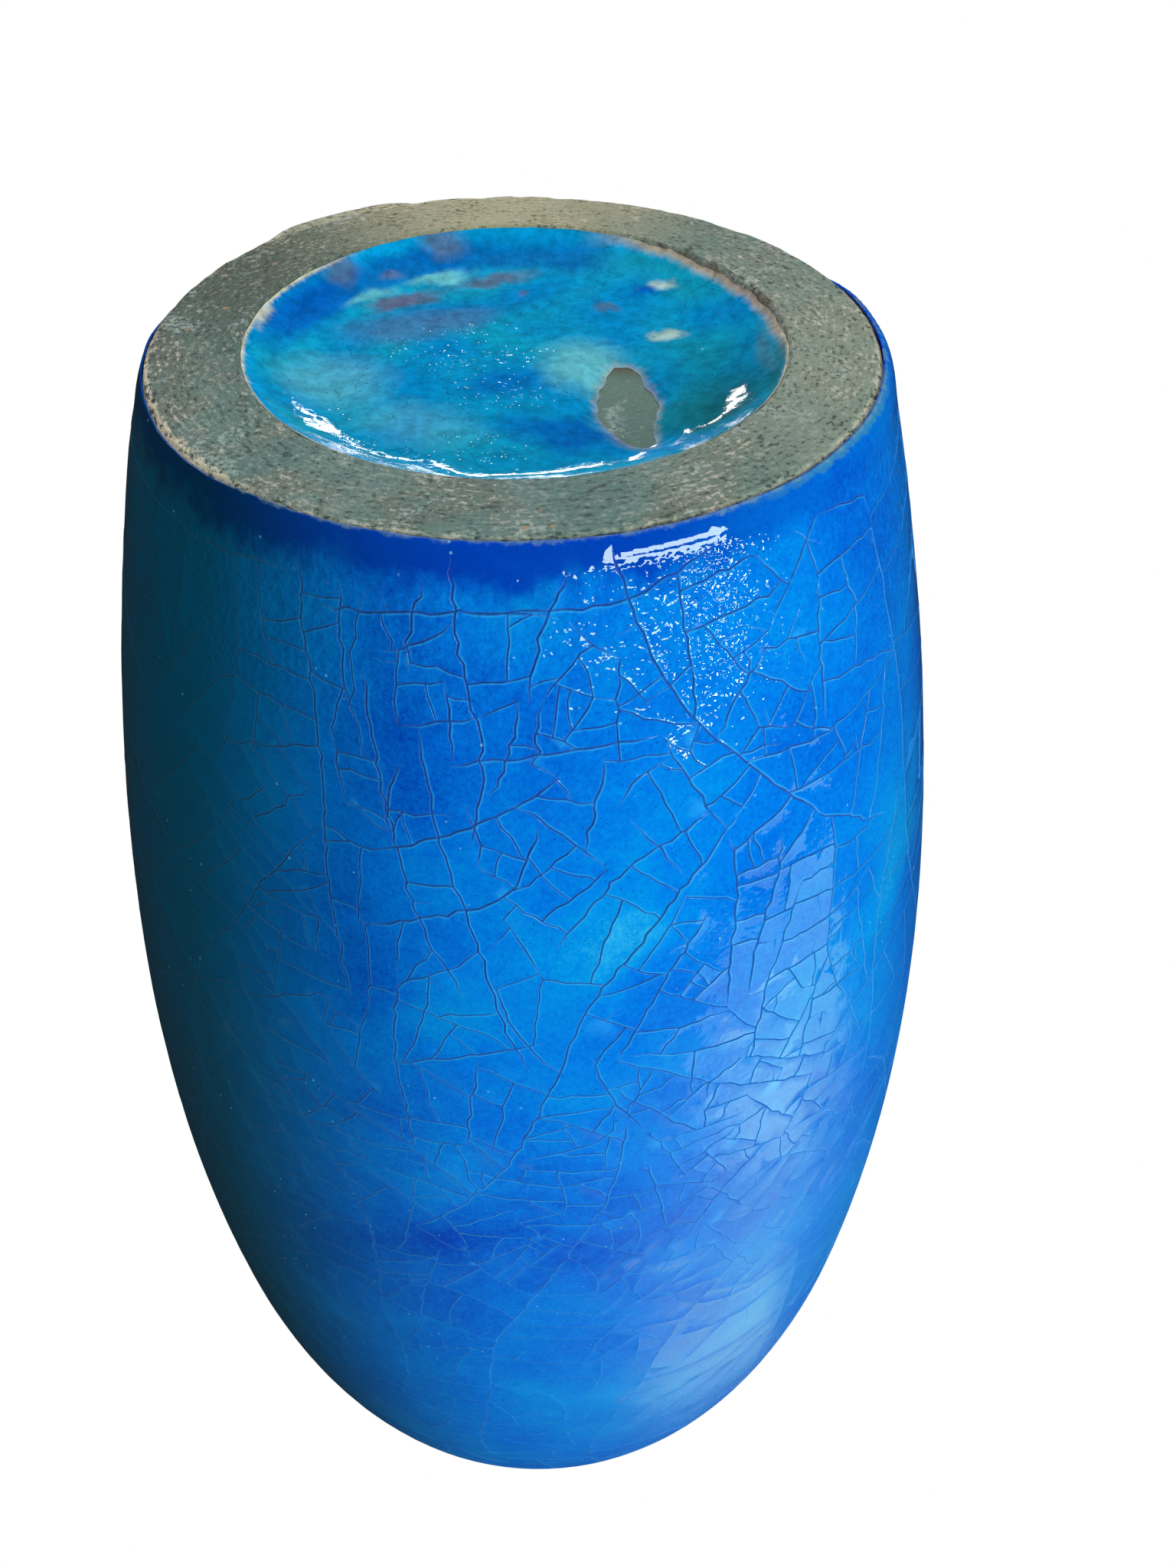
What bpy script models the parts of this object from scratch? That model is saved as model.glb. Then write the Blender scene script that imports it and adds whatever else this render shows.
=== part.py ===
"""Baluster vase in crackle-glazed stoneware, standing on its foot.

Metres, +Z up. The origin is the centre of the flat face of the foot ring.
The pot is one thrown, turned and fired piece of clay. Three coats of glaze lie on it, each its own solid:
the outside coat from just above the foot to over the lip, the lining, and the pool under the base.
"""
import math

import bpy
import bmesh

# Clay body
FOOT_RADIUS = 0.0446         # outer edge of the foot ring
FOOT_RING_WIDTH = 0.0112     # flat face that the vase stands on, edge to edge
FOOT_EDGE = 0.0005           # worn chamfer on both edges of the foot ring
RECESS_DEPTH = 0.0055        # hollow turned out inside the foot ring
RECESS_LEAN = 0.003          # how far the recess wall leans in on its way up
RECESS_FILLET = 0.004        # curve between the recess wall and the recess floor
FILLET_LIMIT = 0.8           # most of the recess wall that this curve may take
BASE_THICKNESS = 0.009       # clay between the recess and the floor inside
FLOOR_FILLET = 0.018         # curve between the floor inside and the wall
WALL = 0.0065                # thrown wall, the same from the floor to the lip
BELLY_RADIUS = 0.0708        # widest point
BELLY_HEIGHT = 0.1595        # widest point above the table
SHOULDER_RISE = 0.106        # from the widest point up to the root of the neck
SHOULDER_FULLNESS = 2.4      # exponent of the shoulder curve: 2 is an ellipse, more is squarer
NECK_RADIUS = 0.0288         # narrowest point of the neck
NECK_FILLET = 0.008          # curve between the shoulder and the neck
NECK_LENGTH = 0.012          # from that curve up to the lip
LIP_FLARE = 0.0045           # how far the lip stands out from the neck

# Glaze coats
SEAT_GAP = 0.0003            # clearance between a coat and the clay, and between two coats
GLAZE = 0.001                # thickness of a coat
GLAZE_EDGE = 0.0005          # thickness of the outside coat at its lower edge
GLAZE_LINE = 0.0008          # bare clay from the table up to the edge of the outside coat
ROLL_SWELL = 0.0004          # extra thickness where the outside coat ran down and rolled up
ROLL_HEIGHT = 0.003          # thickest point of that roll above the table
ROLL_SPREAD = 0.0022         # half height of the roll
POOL_INSET = 0.0017          # bare clay between the foot ring and the coat in the recess, on average
POOL_WAVE = 0.0006           # how far its edge wanders in and out

# Bare patch in the coat of the recess
PATCH_X = -0.0137
PATCH_Y = -0.0106
PATCH_WIDTH = 0.0068
PATCH_LENGTH = 0.0172
PATCH_TURN = math.radians(-6)
PATCH_WAVE = 0.13            # how uneven its outline is, as a share of its radius

# Facets
SEGMENTS = 40                # round the axis
WALL_STEPS = 5
SHOULDER_STEPS = 8
FILLET_STEPS = 3
FLARE_STEPS = 3
LIP_STEPS = 4
OUTLINE_POINTS = 60          # in the outline of the pool
PATCH_POINTS = 20

CLAY = ("fired_clay", (0.30, 0.32, 0.28), 0.75)
SEA_BLUE = ("sea_blue_glaze", (0.05, 0.22, 0.36), 0.22)
LINING = ("lining_glaze", (0.10, 0.28, 0.36), 0.25)
POOL = ("pool_glaze", (0.07, 0.33, 0.42), 0.15)


def clear_scene():
    for item in list(bpy.data.objects):
        bpy.data.objects.remove(item, do_unlink=True)


def make_collection(name):
    collection = bpy.data.collections.new(name)
    bpy.context.scene.collection.children.link(collection)
    return collection


def make_material(name, colour, roughness):
    material = bpy.data.materials.new(name)
    material.use_nodes = True
    shader = material.node_tree.nodes["Principled BSDF"]
    shader.inputs["Base Color"].default_value = (*colour, 1)
    shader.inputs["Roughness"].default_value = roughness
    shader.inputs["Metallic"].default_value = 0
    return material


def smooth_curve(start, control, end, steps):
    """Points of a curve from start to end, drawn towards control, without the start itself."""
    points = []
    for i in range(1, steps + 1):
        t = i / steps
        points.append(tuple((1 - t) ** 2 * a + 2 * t * (1 - t) * b + t ** 2 * c
                            for a, b, c in zip(start, control, end)))
    return points


def normal_at(points, i):
    """Unit normal of an outline at one of its points, on the right of its direction."""
    before = points[max(i - 1, 0)]
    after = points[min(i + 1, len(points) - 1)]
    across, up = after[0] - before[0], after[1] - before[1]
    length = math.hypot(across, up)
    return up / length, -across / length


def offset(points, distances):
    """The outline moved to its right by one distance for each point."""
    moved = []
    for i, ((radius, height), distance) in enumerate(zip(points, distances)):
        across, up = normal_at(points, i)
        moved.append((max(radius + across * distance, 0), height + up * distance))
    if points[0][0] == 0:
        moved[0] = (0, moved[0][1])
    return moved


def even(points, distance):
    return offset(points, [distance] * len(points))


def wall_outside(bottom):
    """Outside of the clay from a height up to the lip: flaring wall, shoulder, neck and flared lip."""
    points = []
    for i in range(WALL_STEPS):
        height = bottom + (BELLY_HEIGHT - bottom) * i / WALL_STEPS
        draw_in = (1 - height / BELLY_HEIGHT) ** 2
        points.append((BELLY_RADIUS - (BELLY_RADIUS - FOOT_RADIUS) * draw_in, height))
    reach = BELLY_RADIUS - NECK_RADIUS
    power = 2 / SHOULDER_FULLNESS
    last_turn = math.acos((NECK_FILLET / reach) ** (1 / power))
    for i in range(SHOULDER_STEPS + 1):
        turn = last_turn * i / SHOULDER_STEPS
        points.append((NECK_RADIUS + reach * math.cos(turn) ** power,
                       BELLY_HEIGHT + SHOULDER_RISE * math.sin(turn) ** power))
    root = BELLY_HEIGHT + SHOULDER_RISE
    waist = (NECK_RADIUS, root + NECK_FILLET)
    points += smooth_curve(points[-1], (NECK_RADIUS, root), waist, FILLET_STEPS)
    half_way = (NECK_RADIUS, waist[1] + NECK_LENGTH / 2)
    lip = (NECK_RADIUS + LIP_FLARE, waist[1] + NECK_LENGTH)
    return points + smooth_curve(waist, half_way, lip, FLARE_STEPS)


def wall_inside():
    """Inside of the clay from the middle of the floor out and up to the lip."""
    floor = RECESS_DEPTH + BASE_THICKNESS
    wall = even(wall_outside(floor + FLOOR_FILLET), -WALL)
    (radius, height), (next_radius, next_height) = wall[:2]
    lean = (next_radius - radius) / (next_height - height)
    corner = (radius - lean * (height - floor), floor)
    start = (corner[0] - FLOOR_FILLET, floor)
    return [(0, floor), start] + smooth_curve(start, corner, wall[0], FILLET_STEPS) + wall[1:]


def underside():
    """Underside of the clay from the middle of the recess out to the inner edge of the foot ring."""
    edge = (FOOT_RADIUS - FOOT_RING_WIDTH, FOOT_EDGE)
    corner = (edge[0] - RECESS_LEAN, RECESS_DEPTH)
    slope = math.hypot(RECESS_LEAN, RECESS_DEPTH - FOOT_EDGE)
    share = min(RECESS_FILLET / slope, FILLET_LIMIT)
    on_wall = tuple(c + (e - c) * share for c, e in zip(corner, edge))
    start = (corner[0] - RECESS_FILLET, RECESS_DEPTH)
    return [(0, RECESS_DEPTH), start] + smooth_curve(start, corner, on_wall, FILLET_STEPS) + [edge]


def lip_arc(distance):
    """Round of the lip, from the outside over the top to the inside, at a distance from the clay."""
    outside = wall_outside(FOOT_EDGE)
    across, up = normal_at(outside, len(outside) - 1)
    centre = (outside[-1][0] - across * WALL / 2, outside[-1][1] - up * WALL / 2)
    reach = WALL / 2 + distance
    points = []
    for i in range(LIP_STEPS + 1):
        turn = math.pi * i / LIP_STEPS
        points.append((centre[0] + reach * (across * math.cos(turn) - up * math.sin(turn)),
                       centre[1] + reach * (up * math.cos(turn) + across * math.sin(turn))))
    return points


def clay_outline():
    foot = [(FOOT_RADIUS - FOOT_EDGE, 0), (FOOT_RADIUS - FOOT_RING_WIDTH + FOOT_EDGE, 0)]
    outside = wall_outside(FOOT_EDGE)[::-1]
    return wall_inside()[:-1] + lip_arc(0)[::-1] + outside[1:] + foot + underside()[::-1]


def roll_heights():
    """Heights at which the outside coat is drawn round its roll, from its lower edge up."""
    return [GLAZE_LINE,
            (GLAZE_LINE + ROLL_HEIGHT) / 2,
            ROLL_HEIGHT,
            ROLL_HEIGHT + ROLL_SPREAD,
            ROLL_HEIGHT + 2 * ROLL_SPREAD]


def outside_coat_outline():
    heights = roll_heights()
    clay = [wall_outside(height)[0] for height in heights[:-1]] + wall_outside(heights[-1])
    thickness = []
    for i, (_, height) in enumerate(clay):
        swell = ROLL_SWELL * math.exp(-((height - ROLL_HEIGHT) / ROLL_SPREAD) ** 2)
        thickness.append((GLAZE if i else GLAZE_EDGE) + swell)
    seat = even(clay, SEAT_GAP)
    face = offset(clay, [SEAT_GAP + t for t in thickness])
    over_lip = lip_arc(SEAT_GAP + GLAZE)[::-1]
    return over_lip + face[-2::-1] + seat[:-1] + lip_arc(SEAT_GAP)


def below_lip(points):
    """The outline with its last point drawn back, clear of the coat that comes over the lip."""
    across, up = normal_at(points, len(points) - 1)
    end = points[-1]
    return points[:-1] + [(end[0] + up * SEAT_GAP, end[1] - across * SEAT_GAP)]


def lining_outline():
    clay = wall_inside()
    face = below_lip(even(clay, -SEAT_GAP - GLAZE))
    seat = below_lip(even(clay, -SEAT_GAP))
    return face + seat[::-1]


def pool_outline():
    clay = underside()
    return even(clay, SEAT_GAP) + even(clay, SEAT_GAP + GLAZE)[::-1]


def turned(name, outline, closed, finish, collection):
    """A solid turned from its outline, which runs down on the outer side."""
    mesh = bpy.data.meshes.new(name)
    count = len(outline)
    edges = [(i, i + 1) for i in range(count - 1)]
    if closed:
        edges.append((count - 1, 0))
    mesh.from_pydata([(radius, 0, height) for radius, height in outline], edges, [])
    piece = bpy.data.objects.new(name, mesh)
    collection.objects.link(piece)
    screw = piece.modifiers.new("turned", "SCREW")
    screw.axis = "Z"
    screw.angle = 2 * math.pi
    screw.steps = SEGMENTS
    screw.render_steps = SEGMENTS
    screw.use_merge_vertices = True
    screw.merge_threshold = 0.00001
    screw.use_smooth_shade = True
    mesh.materials.append(make_material(*finish))
    return piece


def pool_edge():
    """Wandering edge of the coat in the recess, seen from below."""
    points = []
    for i in range(OUTLINE_POINTS):
        turn = 2 * math.pi * i / OUTLINE_POINTS
        wander = 0.5 * math.sin(3 * turn + 0.7) + 0.3 * math.sin(7 * turn + 2.1) + 0.2 * math.sin(13 * turn)
        radius = FOOT_RADIUS - FOOT_RING_WIDTH - POOL_INSET + POOL_WAVE * wander
        points.append((radius * math.cos(turn), radius * math.sin(turn)))
    return points


def patch_edge():
    """Uneven outline of the bare patch: a long oval, dented."""
    points = []
    for i in range(PATCH_POINTS):
        turn = 2 * math.pi * i / PATCH_POINTS
        uneven = 1 + PATCH_WAVE * (0.6 * math.sin(2 * turn + 1.1) + 0.4 * math.sin(5 * turn + 0.4))
        x = PATCH_WIDTH / 2 * uneven * math.cos(turn)
        y = PATCH_LENGTH / 2 * uneven * math.sin(turn)
        points.append((PATCH_X + x * math.cos(PATCH_TURN) - y * math.sin(PATCH_TURN),
                       PATCH_Y + x * math.sin(PATCH_TURN) + y * math.cos(PATCH_TURN)))
    return points


def make_cutter(name, outline, collection):
    """An upright block with this outline, taller than the recess is deep."""
    curve = bpy.data.curves.new(name, "CURVE")
    curve.dimensions = "2D"
    curve.fill_mode = "BOTH"
    curve.extrude = 2 * RECESS_DEPTH
    spline = curve.splines.new("POLY")
    spline.points.add(len(outline) - 1)
    for point, (x, y) in zip(spline.points, outline):
        point.co = (x, y, 0, 1)
    spline.use_cyclic_u = True
    drawn = bpy.data.objects.new(name + "_drawn", curve)
    collection.objects.link(drawn)
    graph = bpy.context.evaluated_depsgraph_get()
    mesh = bpy.data.meshes.new_from_object(drawn.evaluated_get(graph))
    bpy.data.objects.remove(drawn, do_unlink=True)
    shape = bmesh.new()
    shape.from_mesh(mesh)
    bmesh.ops.remove_doubles(shape, verts=shape.verts, dist=0.00001)
    bmesh.ops.recalc_face_normals(shape, faces=shape.faces)
    shape.to_mesh(mesh)
    shape.free()
    cutter = bpy.data.objects.new(name, mesh)
    collection.objects.link(cutter)
    cutter.hide_render = True
    cutter.display_type = "WIRE"
    return cutter


def cut(piece, cutter, operation):
    boolean = piece.modifiers.new(cutter.name, "BOOLEAN")
    boolean.operation = operation
    boolean.solver = "EXACT"
    boolean.object = cutter


def main():
    clear_scene()
    vase = make_collection("baluster_vase")
    cutters = make_collection("cutters")
    turned("clay_body", clay_outline(), False, CLAY, vase)
    turned("outer_glaze", outside_coat_outline(), True, SEA_BLUE, vase)
    turned("inner_glaze", lining_outline(), False, LINING, vase)
    pool = turned("base_glaze", pool_outline(), False, POOL, vase)
    cut(pool, make_cutter("pool_edge", pool_edge(), cutters), "INTERSECT")
    cut(pool, make_cutter("bare_patch", patch_edge(), cutters), "DIFFERENCE")


main()
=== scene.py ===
# %% [markdown]
# # A baluster vase in blue crackle glaze
# This lesson dresses a stoneware vase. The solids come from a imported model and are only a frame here:
# a clay pot, a glaze coat outside, a lining inside and a pool of glaze in the recess under the foot.
# Each of them gets a finer mesh and a finish made of nodes. The camera looks at the foot from below,
# because that is where the potter's work shows best.

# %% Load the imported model
import math
import random

import bmesh
import bpy
import numpy as np
from mathutils import Matrix, Vector, noise
from mathutils.geometry import delaunay_2d_cdt
from mathutils.kdtree import KDTree


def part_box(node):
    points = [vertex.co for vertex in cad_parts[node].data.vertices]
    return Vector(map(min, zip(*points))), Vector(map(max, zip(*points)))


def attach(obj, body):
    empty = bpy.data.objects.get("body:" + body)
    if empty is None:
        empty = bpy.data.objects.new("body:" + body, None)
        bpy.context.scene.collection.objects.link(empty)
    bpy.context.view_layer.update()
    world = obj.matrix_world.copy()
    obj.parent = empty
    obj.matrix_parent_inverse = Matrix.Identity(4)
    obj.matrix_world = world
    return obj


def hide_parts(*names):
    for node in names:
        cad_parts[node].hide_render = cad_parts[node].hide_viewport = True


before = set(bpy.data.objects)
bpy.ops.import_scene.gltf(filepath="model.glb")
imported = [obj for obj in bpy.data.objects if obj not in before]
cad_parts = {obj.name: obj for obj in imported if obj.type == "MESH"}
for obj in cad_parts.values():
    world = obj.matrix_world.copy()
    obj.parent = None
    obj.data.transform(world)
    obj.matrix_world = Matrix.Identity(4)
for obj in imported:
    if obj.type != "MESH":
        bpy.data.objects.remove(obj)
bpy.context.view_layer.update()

# %% [markdown]
# ## The shape of the pot
# A thrown pot is a turned shape, so one outline says nearly all. The wall flares from the foot as a
# parabola, the shoulder is a superellipse, and a short neck flares to a round lip. The belly is read from
# the frame. The outline is kept as points with the length run so far, so that glaze can be laid along it
# like paper.

# %% Sizes of the clay
TURN = 2 * math.pi
FOOT_RADIUS = 0.0446
RING_WIDTH = 0.0112
FOOT_EDGE = 0.0005
RECESS_DEPTH = 0.0055
RECESS_LEAN = 0.003
RECESS_FILLET = 0.004
FLOOR_HEIGHT = 0.0145
FLOOR_FILLET = 0.018
WALL = 0.0065
BELLY_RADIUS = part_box("clay_body")[1].x
BELLY_HEIGHT = 0.1595
SHOULDER_RISE = 0.106
SHOULDER_FULLNESS = 2.4
NECK_RADIUS = 0.0288
NECK_FILLET = 0.008
NECK_LENGTH = 0.012
LIP_FLARE = 0.0045
SEAT_GAP = 0.0003
RECESS_RADIUS = FOOT_RADIUS - RING_WIDTH


def drawn_curve(start, control, end, steps):
    """Points from start to end, drawn towards control, without the start."""
    points = []
    for i in range(1, steps + 1):
        t = i / steps
        points.append(tuple((1 - t) ** 2 * a + 2 * t * (1 - t) * b + t ** 2 * c
                            for a, b, c in zip(start, control, end)))
    return points


def wall_outline(bottom, fine):
    """Outside of the clay from a height to the lip, as points of radius and height."""
    points = []
    for i in range(2 * fine):
        height = bottom + (BELLY_HEIGHT - bottom) * i / (2 * fine)
        drawn_in = (BELLY_RADIUS - FOOT_RADIUS) * (1 - height / BELLY_HEIGHT) ** 2
        points.append((BELLY_RADIUS - drawn_in, height))
    reach = BELLY_RADIUS - NECK_RADIUS
    power = 2 / SHOULDER_FULLNESS
    last = math.acos((NECK_FILLET / reach) ** (1 / power))
    for i in range(2 * fine + 1):
        turn = last * i / (2 * fine)
        points.append((NECK_RADIUS + reach * math.cos(turn) ** power,
                       BELLY_HEIGHT + SHOULDER_RISE * math.sin(turn) ** power))
    root = BELLY_HEIGHT + SHOULDER_RISE
    waist = (NECK_RADIUS, root + NECK_FILLET)
    points += drawn_curve(points[-1], (NECK_RADIUS, root), waist, fine // 2)
    lip = (NECK_RADIUS + LIP_FLARE, waist[1] + NECK_LENGTH)
    return points + drawn_curve(waist, (NECK_RADIUS, waist[1] + NECK_LENGTH / 2), lip, fine // 2)


def normals_of(points):
    """Unit normals on the right of an outline's direction."""
    along = np.gradient(np.array(points), axis=0)
    along /= np.linalg.norm(along, axis=1)[:, None]
    return np.stack([along[:, 1], -along[:, 0]], axis=1)


def lip_outline(fine):
    """Round of the lip from the outside over the top to the inside."""
    outside = wall_outline(FOOT_EDGE, 24)
    across, up = normals_of(outside)[-1]
    centre = (outside[-1][0] - across * WALL / 2, outside[-1][1] - up * WALL / 2)
    points = []
    for i in range(1, fine + 1):
        turn = math.pi * i / fine
        points.append((centre[0] + WALL / 2 * (across * math.cos(turn) - up * math.sin(turn)),
                       centre[1] + WALL / 2 * (up * math.cos(turn) + across * math.sin(turn))))
    return points


def inside_outline(fine):
    """Inside of the clay from the middle of the floor to the lip."""
    outside = wall_outline(FLOOR_HEIGHT + FLOOR_FILLET, fine)
    wall = [tuple(p) for p in np.array(outside) - normals_of(outside) * WALL]
    (radius, height), (next_radius, next_height) = wall[:2]
    lean = (next_radius - radius) / (next_height - height)
    corner = (radius - lean * (height - FLOOR_HEIGHT), FLOOR_HEIGHT)
    start = (corner[0] - FLOOR_FILLET, FLOOR_HEIGHT)
    return [(0, FLOOR_HEIGHT), start] + drawn_curve(start, corner, wall[0], fine // 2) + wall[1:]


def recess_outline(fine):
    """Underside of the clay from the middle of the recess to the inner edge of the foot ring."""
    edge = (RECESS_RADIUS, FOOT_EDGE)
    corner = (RECESS_RADIUS - RECESS_LEAN, RECESS_DEPTH)
    share = RECESS_FILLET / math.hypot(RECESS_LEAN, RECESS_DEPTH - FOOT_EDGE)
    on_wall = tuple(c + (e - c) * share for c, e in zip(corner, edge))
    start = (corner[0] - RECESS_FILLET, RECESS_DEPTH)
    floor = [(start[0] * i / fine, RECESS_DEPTH) for i in range(fine + 1)]
    return floor + drawn_curve(start, corner, on_wall, fine // 2) + drawn_curve(on_wall, on_wall, edge, 3)


def run_lengths(points):
    """Length run along an outline up to each of its points."""
    steps = np.linalg.norm(np.diff(np.array(points), axis=0), axis=1)
    return np.concatenate([[0], np.cumsum(steps)])


GLAZE_LINE = 0.0002
coat_path = np.array(wall_outline(GLAZE_LINE, 40) + lip_outline(24))
coat_normals = normals_of(coat_path)
coat_runs = run_lengths(coat_path)
COAT_LENGTH = coat_runs[-1]
print("coat runs %.1f mm from foot to inside of the lip" % (1000 * COAT_LENGTH))

# %% [markdown]
# ## The camera, the light and the floor
# The vase stands upright, and the camera is below the table's level, turned upside down, so that the
# picture shows the foot on top. The floor is only seen from above: from below it lets the view through.
# Three broad soft lamps on one side stand for the sky, three smaller ones give the glints, and four more
# light the surfaces without being mirrored in them. A dark tent that only reflections can see keeps the
# glaze deep in colour, as black cards do in a studio.

# %% Camera
CAMERA_PLACE = Vector((-0.0081, -0.1458, -0.0686))
CAMERA_FORWARD = Vector((-0.0073, 0.7010, 0.7132))
CAMERA_UP = Vector((0.0072, 0.7132, -0.7009))
FOCAL_PIXELS = 1596
PICTURE_HEIGHT = 2048
SENSOR = 36
NEAR_CLIP = 0.01


def add_camera():
    data = bpy.data.cameras.new("camera")
    data.sensor_width = SENSOR
    data.lens = FOCAL_PIXELS / PICTURE_HEIGHT * SENSOR
    data.clip_start = NEAR_CLIP
    camera = bpy.data.objects.new("camera", data)
    bpy.context.scene.collection.objects.link(camera)
    right = CAMERA_FORWARD.cross(CAMERA_UP).normalized()
    up = right.cross(CAMERA_FORWARD).normalized()
    turn = Matrix((right, up, -CAMERA_FORWARD.normalized())).transposed()
    camera.matrix_world = Matrix.Translation(CAMERA_PLACE) @ turn.to_4x4()
    bpy.context.scene.camera = camera
    print("lens %.2f mm" % data.lens)


add_camera()

# %% Helpers for nodes


def add_node(tree, kind, inputs=(), **settings):
    """One node with its settings. Inputs are pairs of a socket and a value or another node's output."""
    node = tree.nodes.new(kind)
    for name, value in settings.items():
        setattr(node, name, value)
    for socket, value in inputs:
        if isinstance(value, bpy.types.NodeSocket):
            tree.links.new(value, node.inputs[socket])
        else:
            node.inputs[socket].default_value = value
    return node


def mixed(tree, share, first, second, blend="MIX"):
    """Colour between two colours."""
    pairs = [(0, share)]
    for socket, value in ((6, first), (7, second)):
        pairs.append((socket, value if isinstance(value, bpy.types.NodeSocket) else (*value, 1)))
    return add_node(tree, "ShaderNodeMix", pairs, data_type="RGBA", blend_type=blend).outputs[2]


def maths(tree, operation, first, second=0.0, third=0.0, clamp=False):
    pairs = [(0, first), (1, second), (2, third)]
    return add_node(tree, "ShaderNodeMath", pairs, operation=operation, use_clamp=clamp).outputs[0]


def times(tree, first, second):
    return maths(tree, "MULTIPLY", first, second)


def plus(tree, first, second):
    return maths(tree, "ADD", first, second)


def tinted(tree, under, colour, mask, strength=None):
    """A colour laid over another where a mask says, at full strength or at a share of it."""
    return mixed(tree, times(tree, mask, strength) if strength else mask, under, colour)


def between(tree, value, low, high, to_low=0.0, to_high=1.0):
    """A value stretched from one range to another with soft ends."""
    pairs = [(0, value), (1, low), (2, high), (3, to_low), (4, to_high)]
    return add_node(tree, "ShaderNodeMapRange", pairs, interpolation_type="SMOOTHSTEP").outputs[0]


def object_place(tree):
    return add_node(tree, "ShaderNodeTexCoord").outputs["Object"]


def place_parts(tree):
    """X, Y and Z of a place on the object."""
    return add_node(tree, "ShaderNodeSeparateXYZ", [(0, object_place(tree))]).outputs


def grain(tree, scale, detail=2.0, roughness=0.5, distortion=0.0, coords=None):
    """Noise on the object's own coordinates, from 0 to 1."""
    pairs = [("Vector", coords or object_place(tree)), ("Scale", scale), ("Detail", detail),
             ("Roughness", roughness), ("Distortion", distortion)]
    return add_node(tree, "ShaderNodeTexNoise", pairs).outputs["Fac"]


def sway(tree, reach, scale, detail, roughness=0.5):
    """Noise that swings by half a reach to either side of 0."""
    return maths(tree, "MULTIPLY_ADD", grain(tree, scale, detail, roughness), reach, -reach / 2)


def dots(tree, scale, low, high):
    """Small round spots: 1 inside, 0 outside."""
    pairs = [("Vector", object_place(tree)), ("Scale", scale)]
    cells = add_node(tree, "ShaderNodeTexVoronoi", pairs)
    return between(tree, cells.outputs["Distance"], low, high, 1.0, 0.0)


def strewn_dots(tree, scale, low, high, patches, start, end):
    """Small round spots that show only in the patches of a broader noise."""
    return times(tree, dots(tree, scale, low, high), between(tree, grain(tree, patches), start, end))


def layer(tree, name):
    """A mask painted on the mesh."""
    return add_node(tree, "ShaderNodeAttribute", attribute_name=name).outputs["Fac"]


def bumped(tree, height, strength, distance, below=None):
    pairs = [("Height", height), ("Strength", strength), ("Distance", distance)]
    if below:
        pairs.append(("Normal", below))
    return add_node(tree, "ShaderNodeBump", pairs).outputs["Normal"]


def new_finish(name):
    """A material with its node tree and its one shader."""
    material = bpy.data.materials.new(name)
    material.use_nodes = True
    return material, material.node_tree, material.node_tree.nodes["Principled BSDF"]


# %% World, lamps, dark tent and floor
VASE_MIDDLE = Vector((0, 0, 0.12))
SKY_ON_SURFACES = 0.28
SKY_COLOUR = (0.66, 1.0, 0.32)
TENT_RADIUS = 2.5
FLOOR_SIZE = 6
FLOOR_DROP = 0.0002


def add_world():
    """White for the camera and for reflections, a plain grey for the light on surfaces."""
    world = bpy.data.worlds.new("studio")
    bpy.context.scene.world = world
    world.use_nodes = True
    tree = world.node_tree
    path = add_node(tree, "ShaderNodeLightPath")
    seen = maths(tree, "MAXIMUM", path.outputs["Is Camera Ray"], path.outputs["Is Glossy Ray"])
    seen = maths(tree, "MAXIMUM", seen, path.outputs["Is Transmission Ray"])
    background = tree.nodes["Background"]
    background.inputs["Color"].default_value = (1, 1, 1, 1)
    tree.links.new(between(tree, seen, 0.0, 1.0, SKY_ON_SURFACES, 1.0), background.inputs["Strength"])


def add_lamp(name, place, size, power, colour=(1, 1, 1), mirrored=True):
    data = bpy.data.lights.new(name, "AREA")
    data.shape = "RECTANGLE"
    data.size, data.size_y = size
    data.energy = power
    data.color = colour
    lamp = bpy.data.objects.new(name, data)
    bpy.context.scene.collection.objects.link(lamp)
    lamp.location = VASE_MIDDLE + Vector(place)
    lamp.rotation_mode = "QUATERNION"
    lamp.rotation_quaternion = (-Vector(place)).to_track_quat("-Z", "Y")
    lamp.visible_camera = False
    lamp.visible_glossy = mirrored


def only_for(piece, camera=False, glossy=False):
    """Lets only some rays see a piece of the stage."""
    piece.visible_camera = camera
    piece.visible_glossy = glossy
    piece.visible_diffuse = False
    piece.visible_transmission = False
    piece.visible_shadow = False


def add_tent():
    """Dark cloth all round, far out, for reflections only."""
    bpy.ops.object.select_all(action="DESELECT")
    bpy.ops.mesh.primitive_uv_sphere_add(segments=32, ring_count=16, radius=TENT_RADIUS)
    tent = bpy.context.object
    tent.name = "dark_tent"
    material, tree, shader = new_finish("dark_cloth")
    shader.inputs["Base Color"].default_value = (0.02, 0.02, 0.02, 1)
    shader.inputs["Roughness"].default_value = 1
    shader.inputs["Emission Color"].default_value = (0.004, 0.006, 0.007, 1)
    shader.inputs["Emission Strength"].default_value = 1
    tent.data.materials.append(material)
    only_for(tent, glossy=True)


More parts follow.
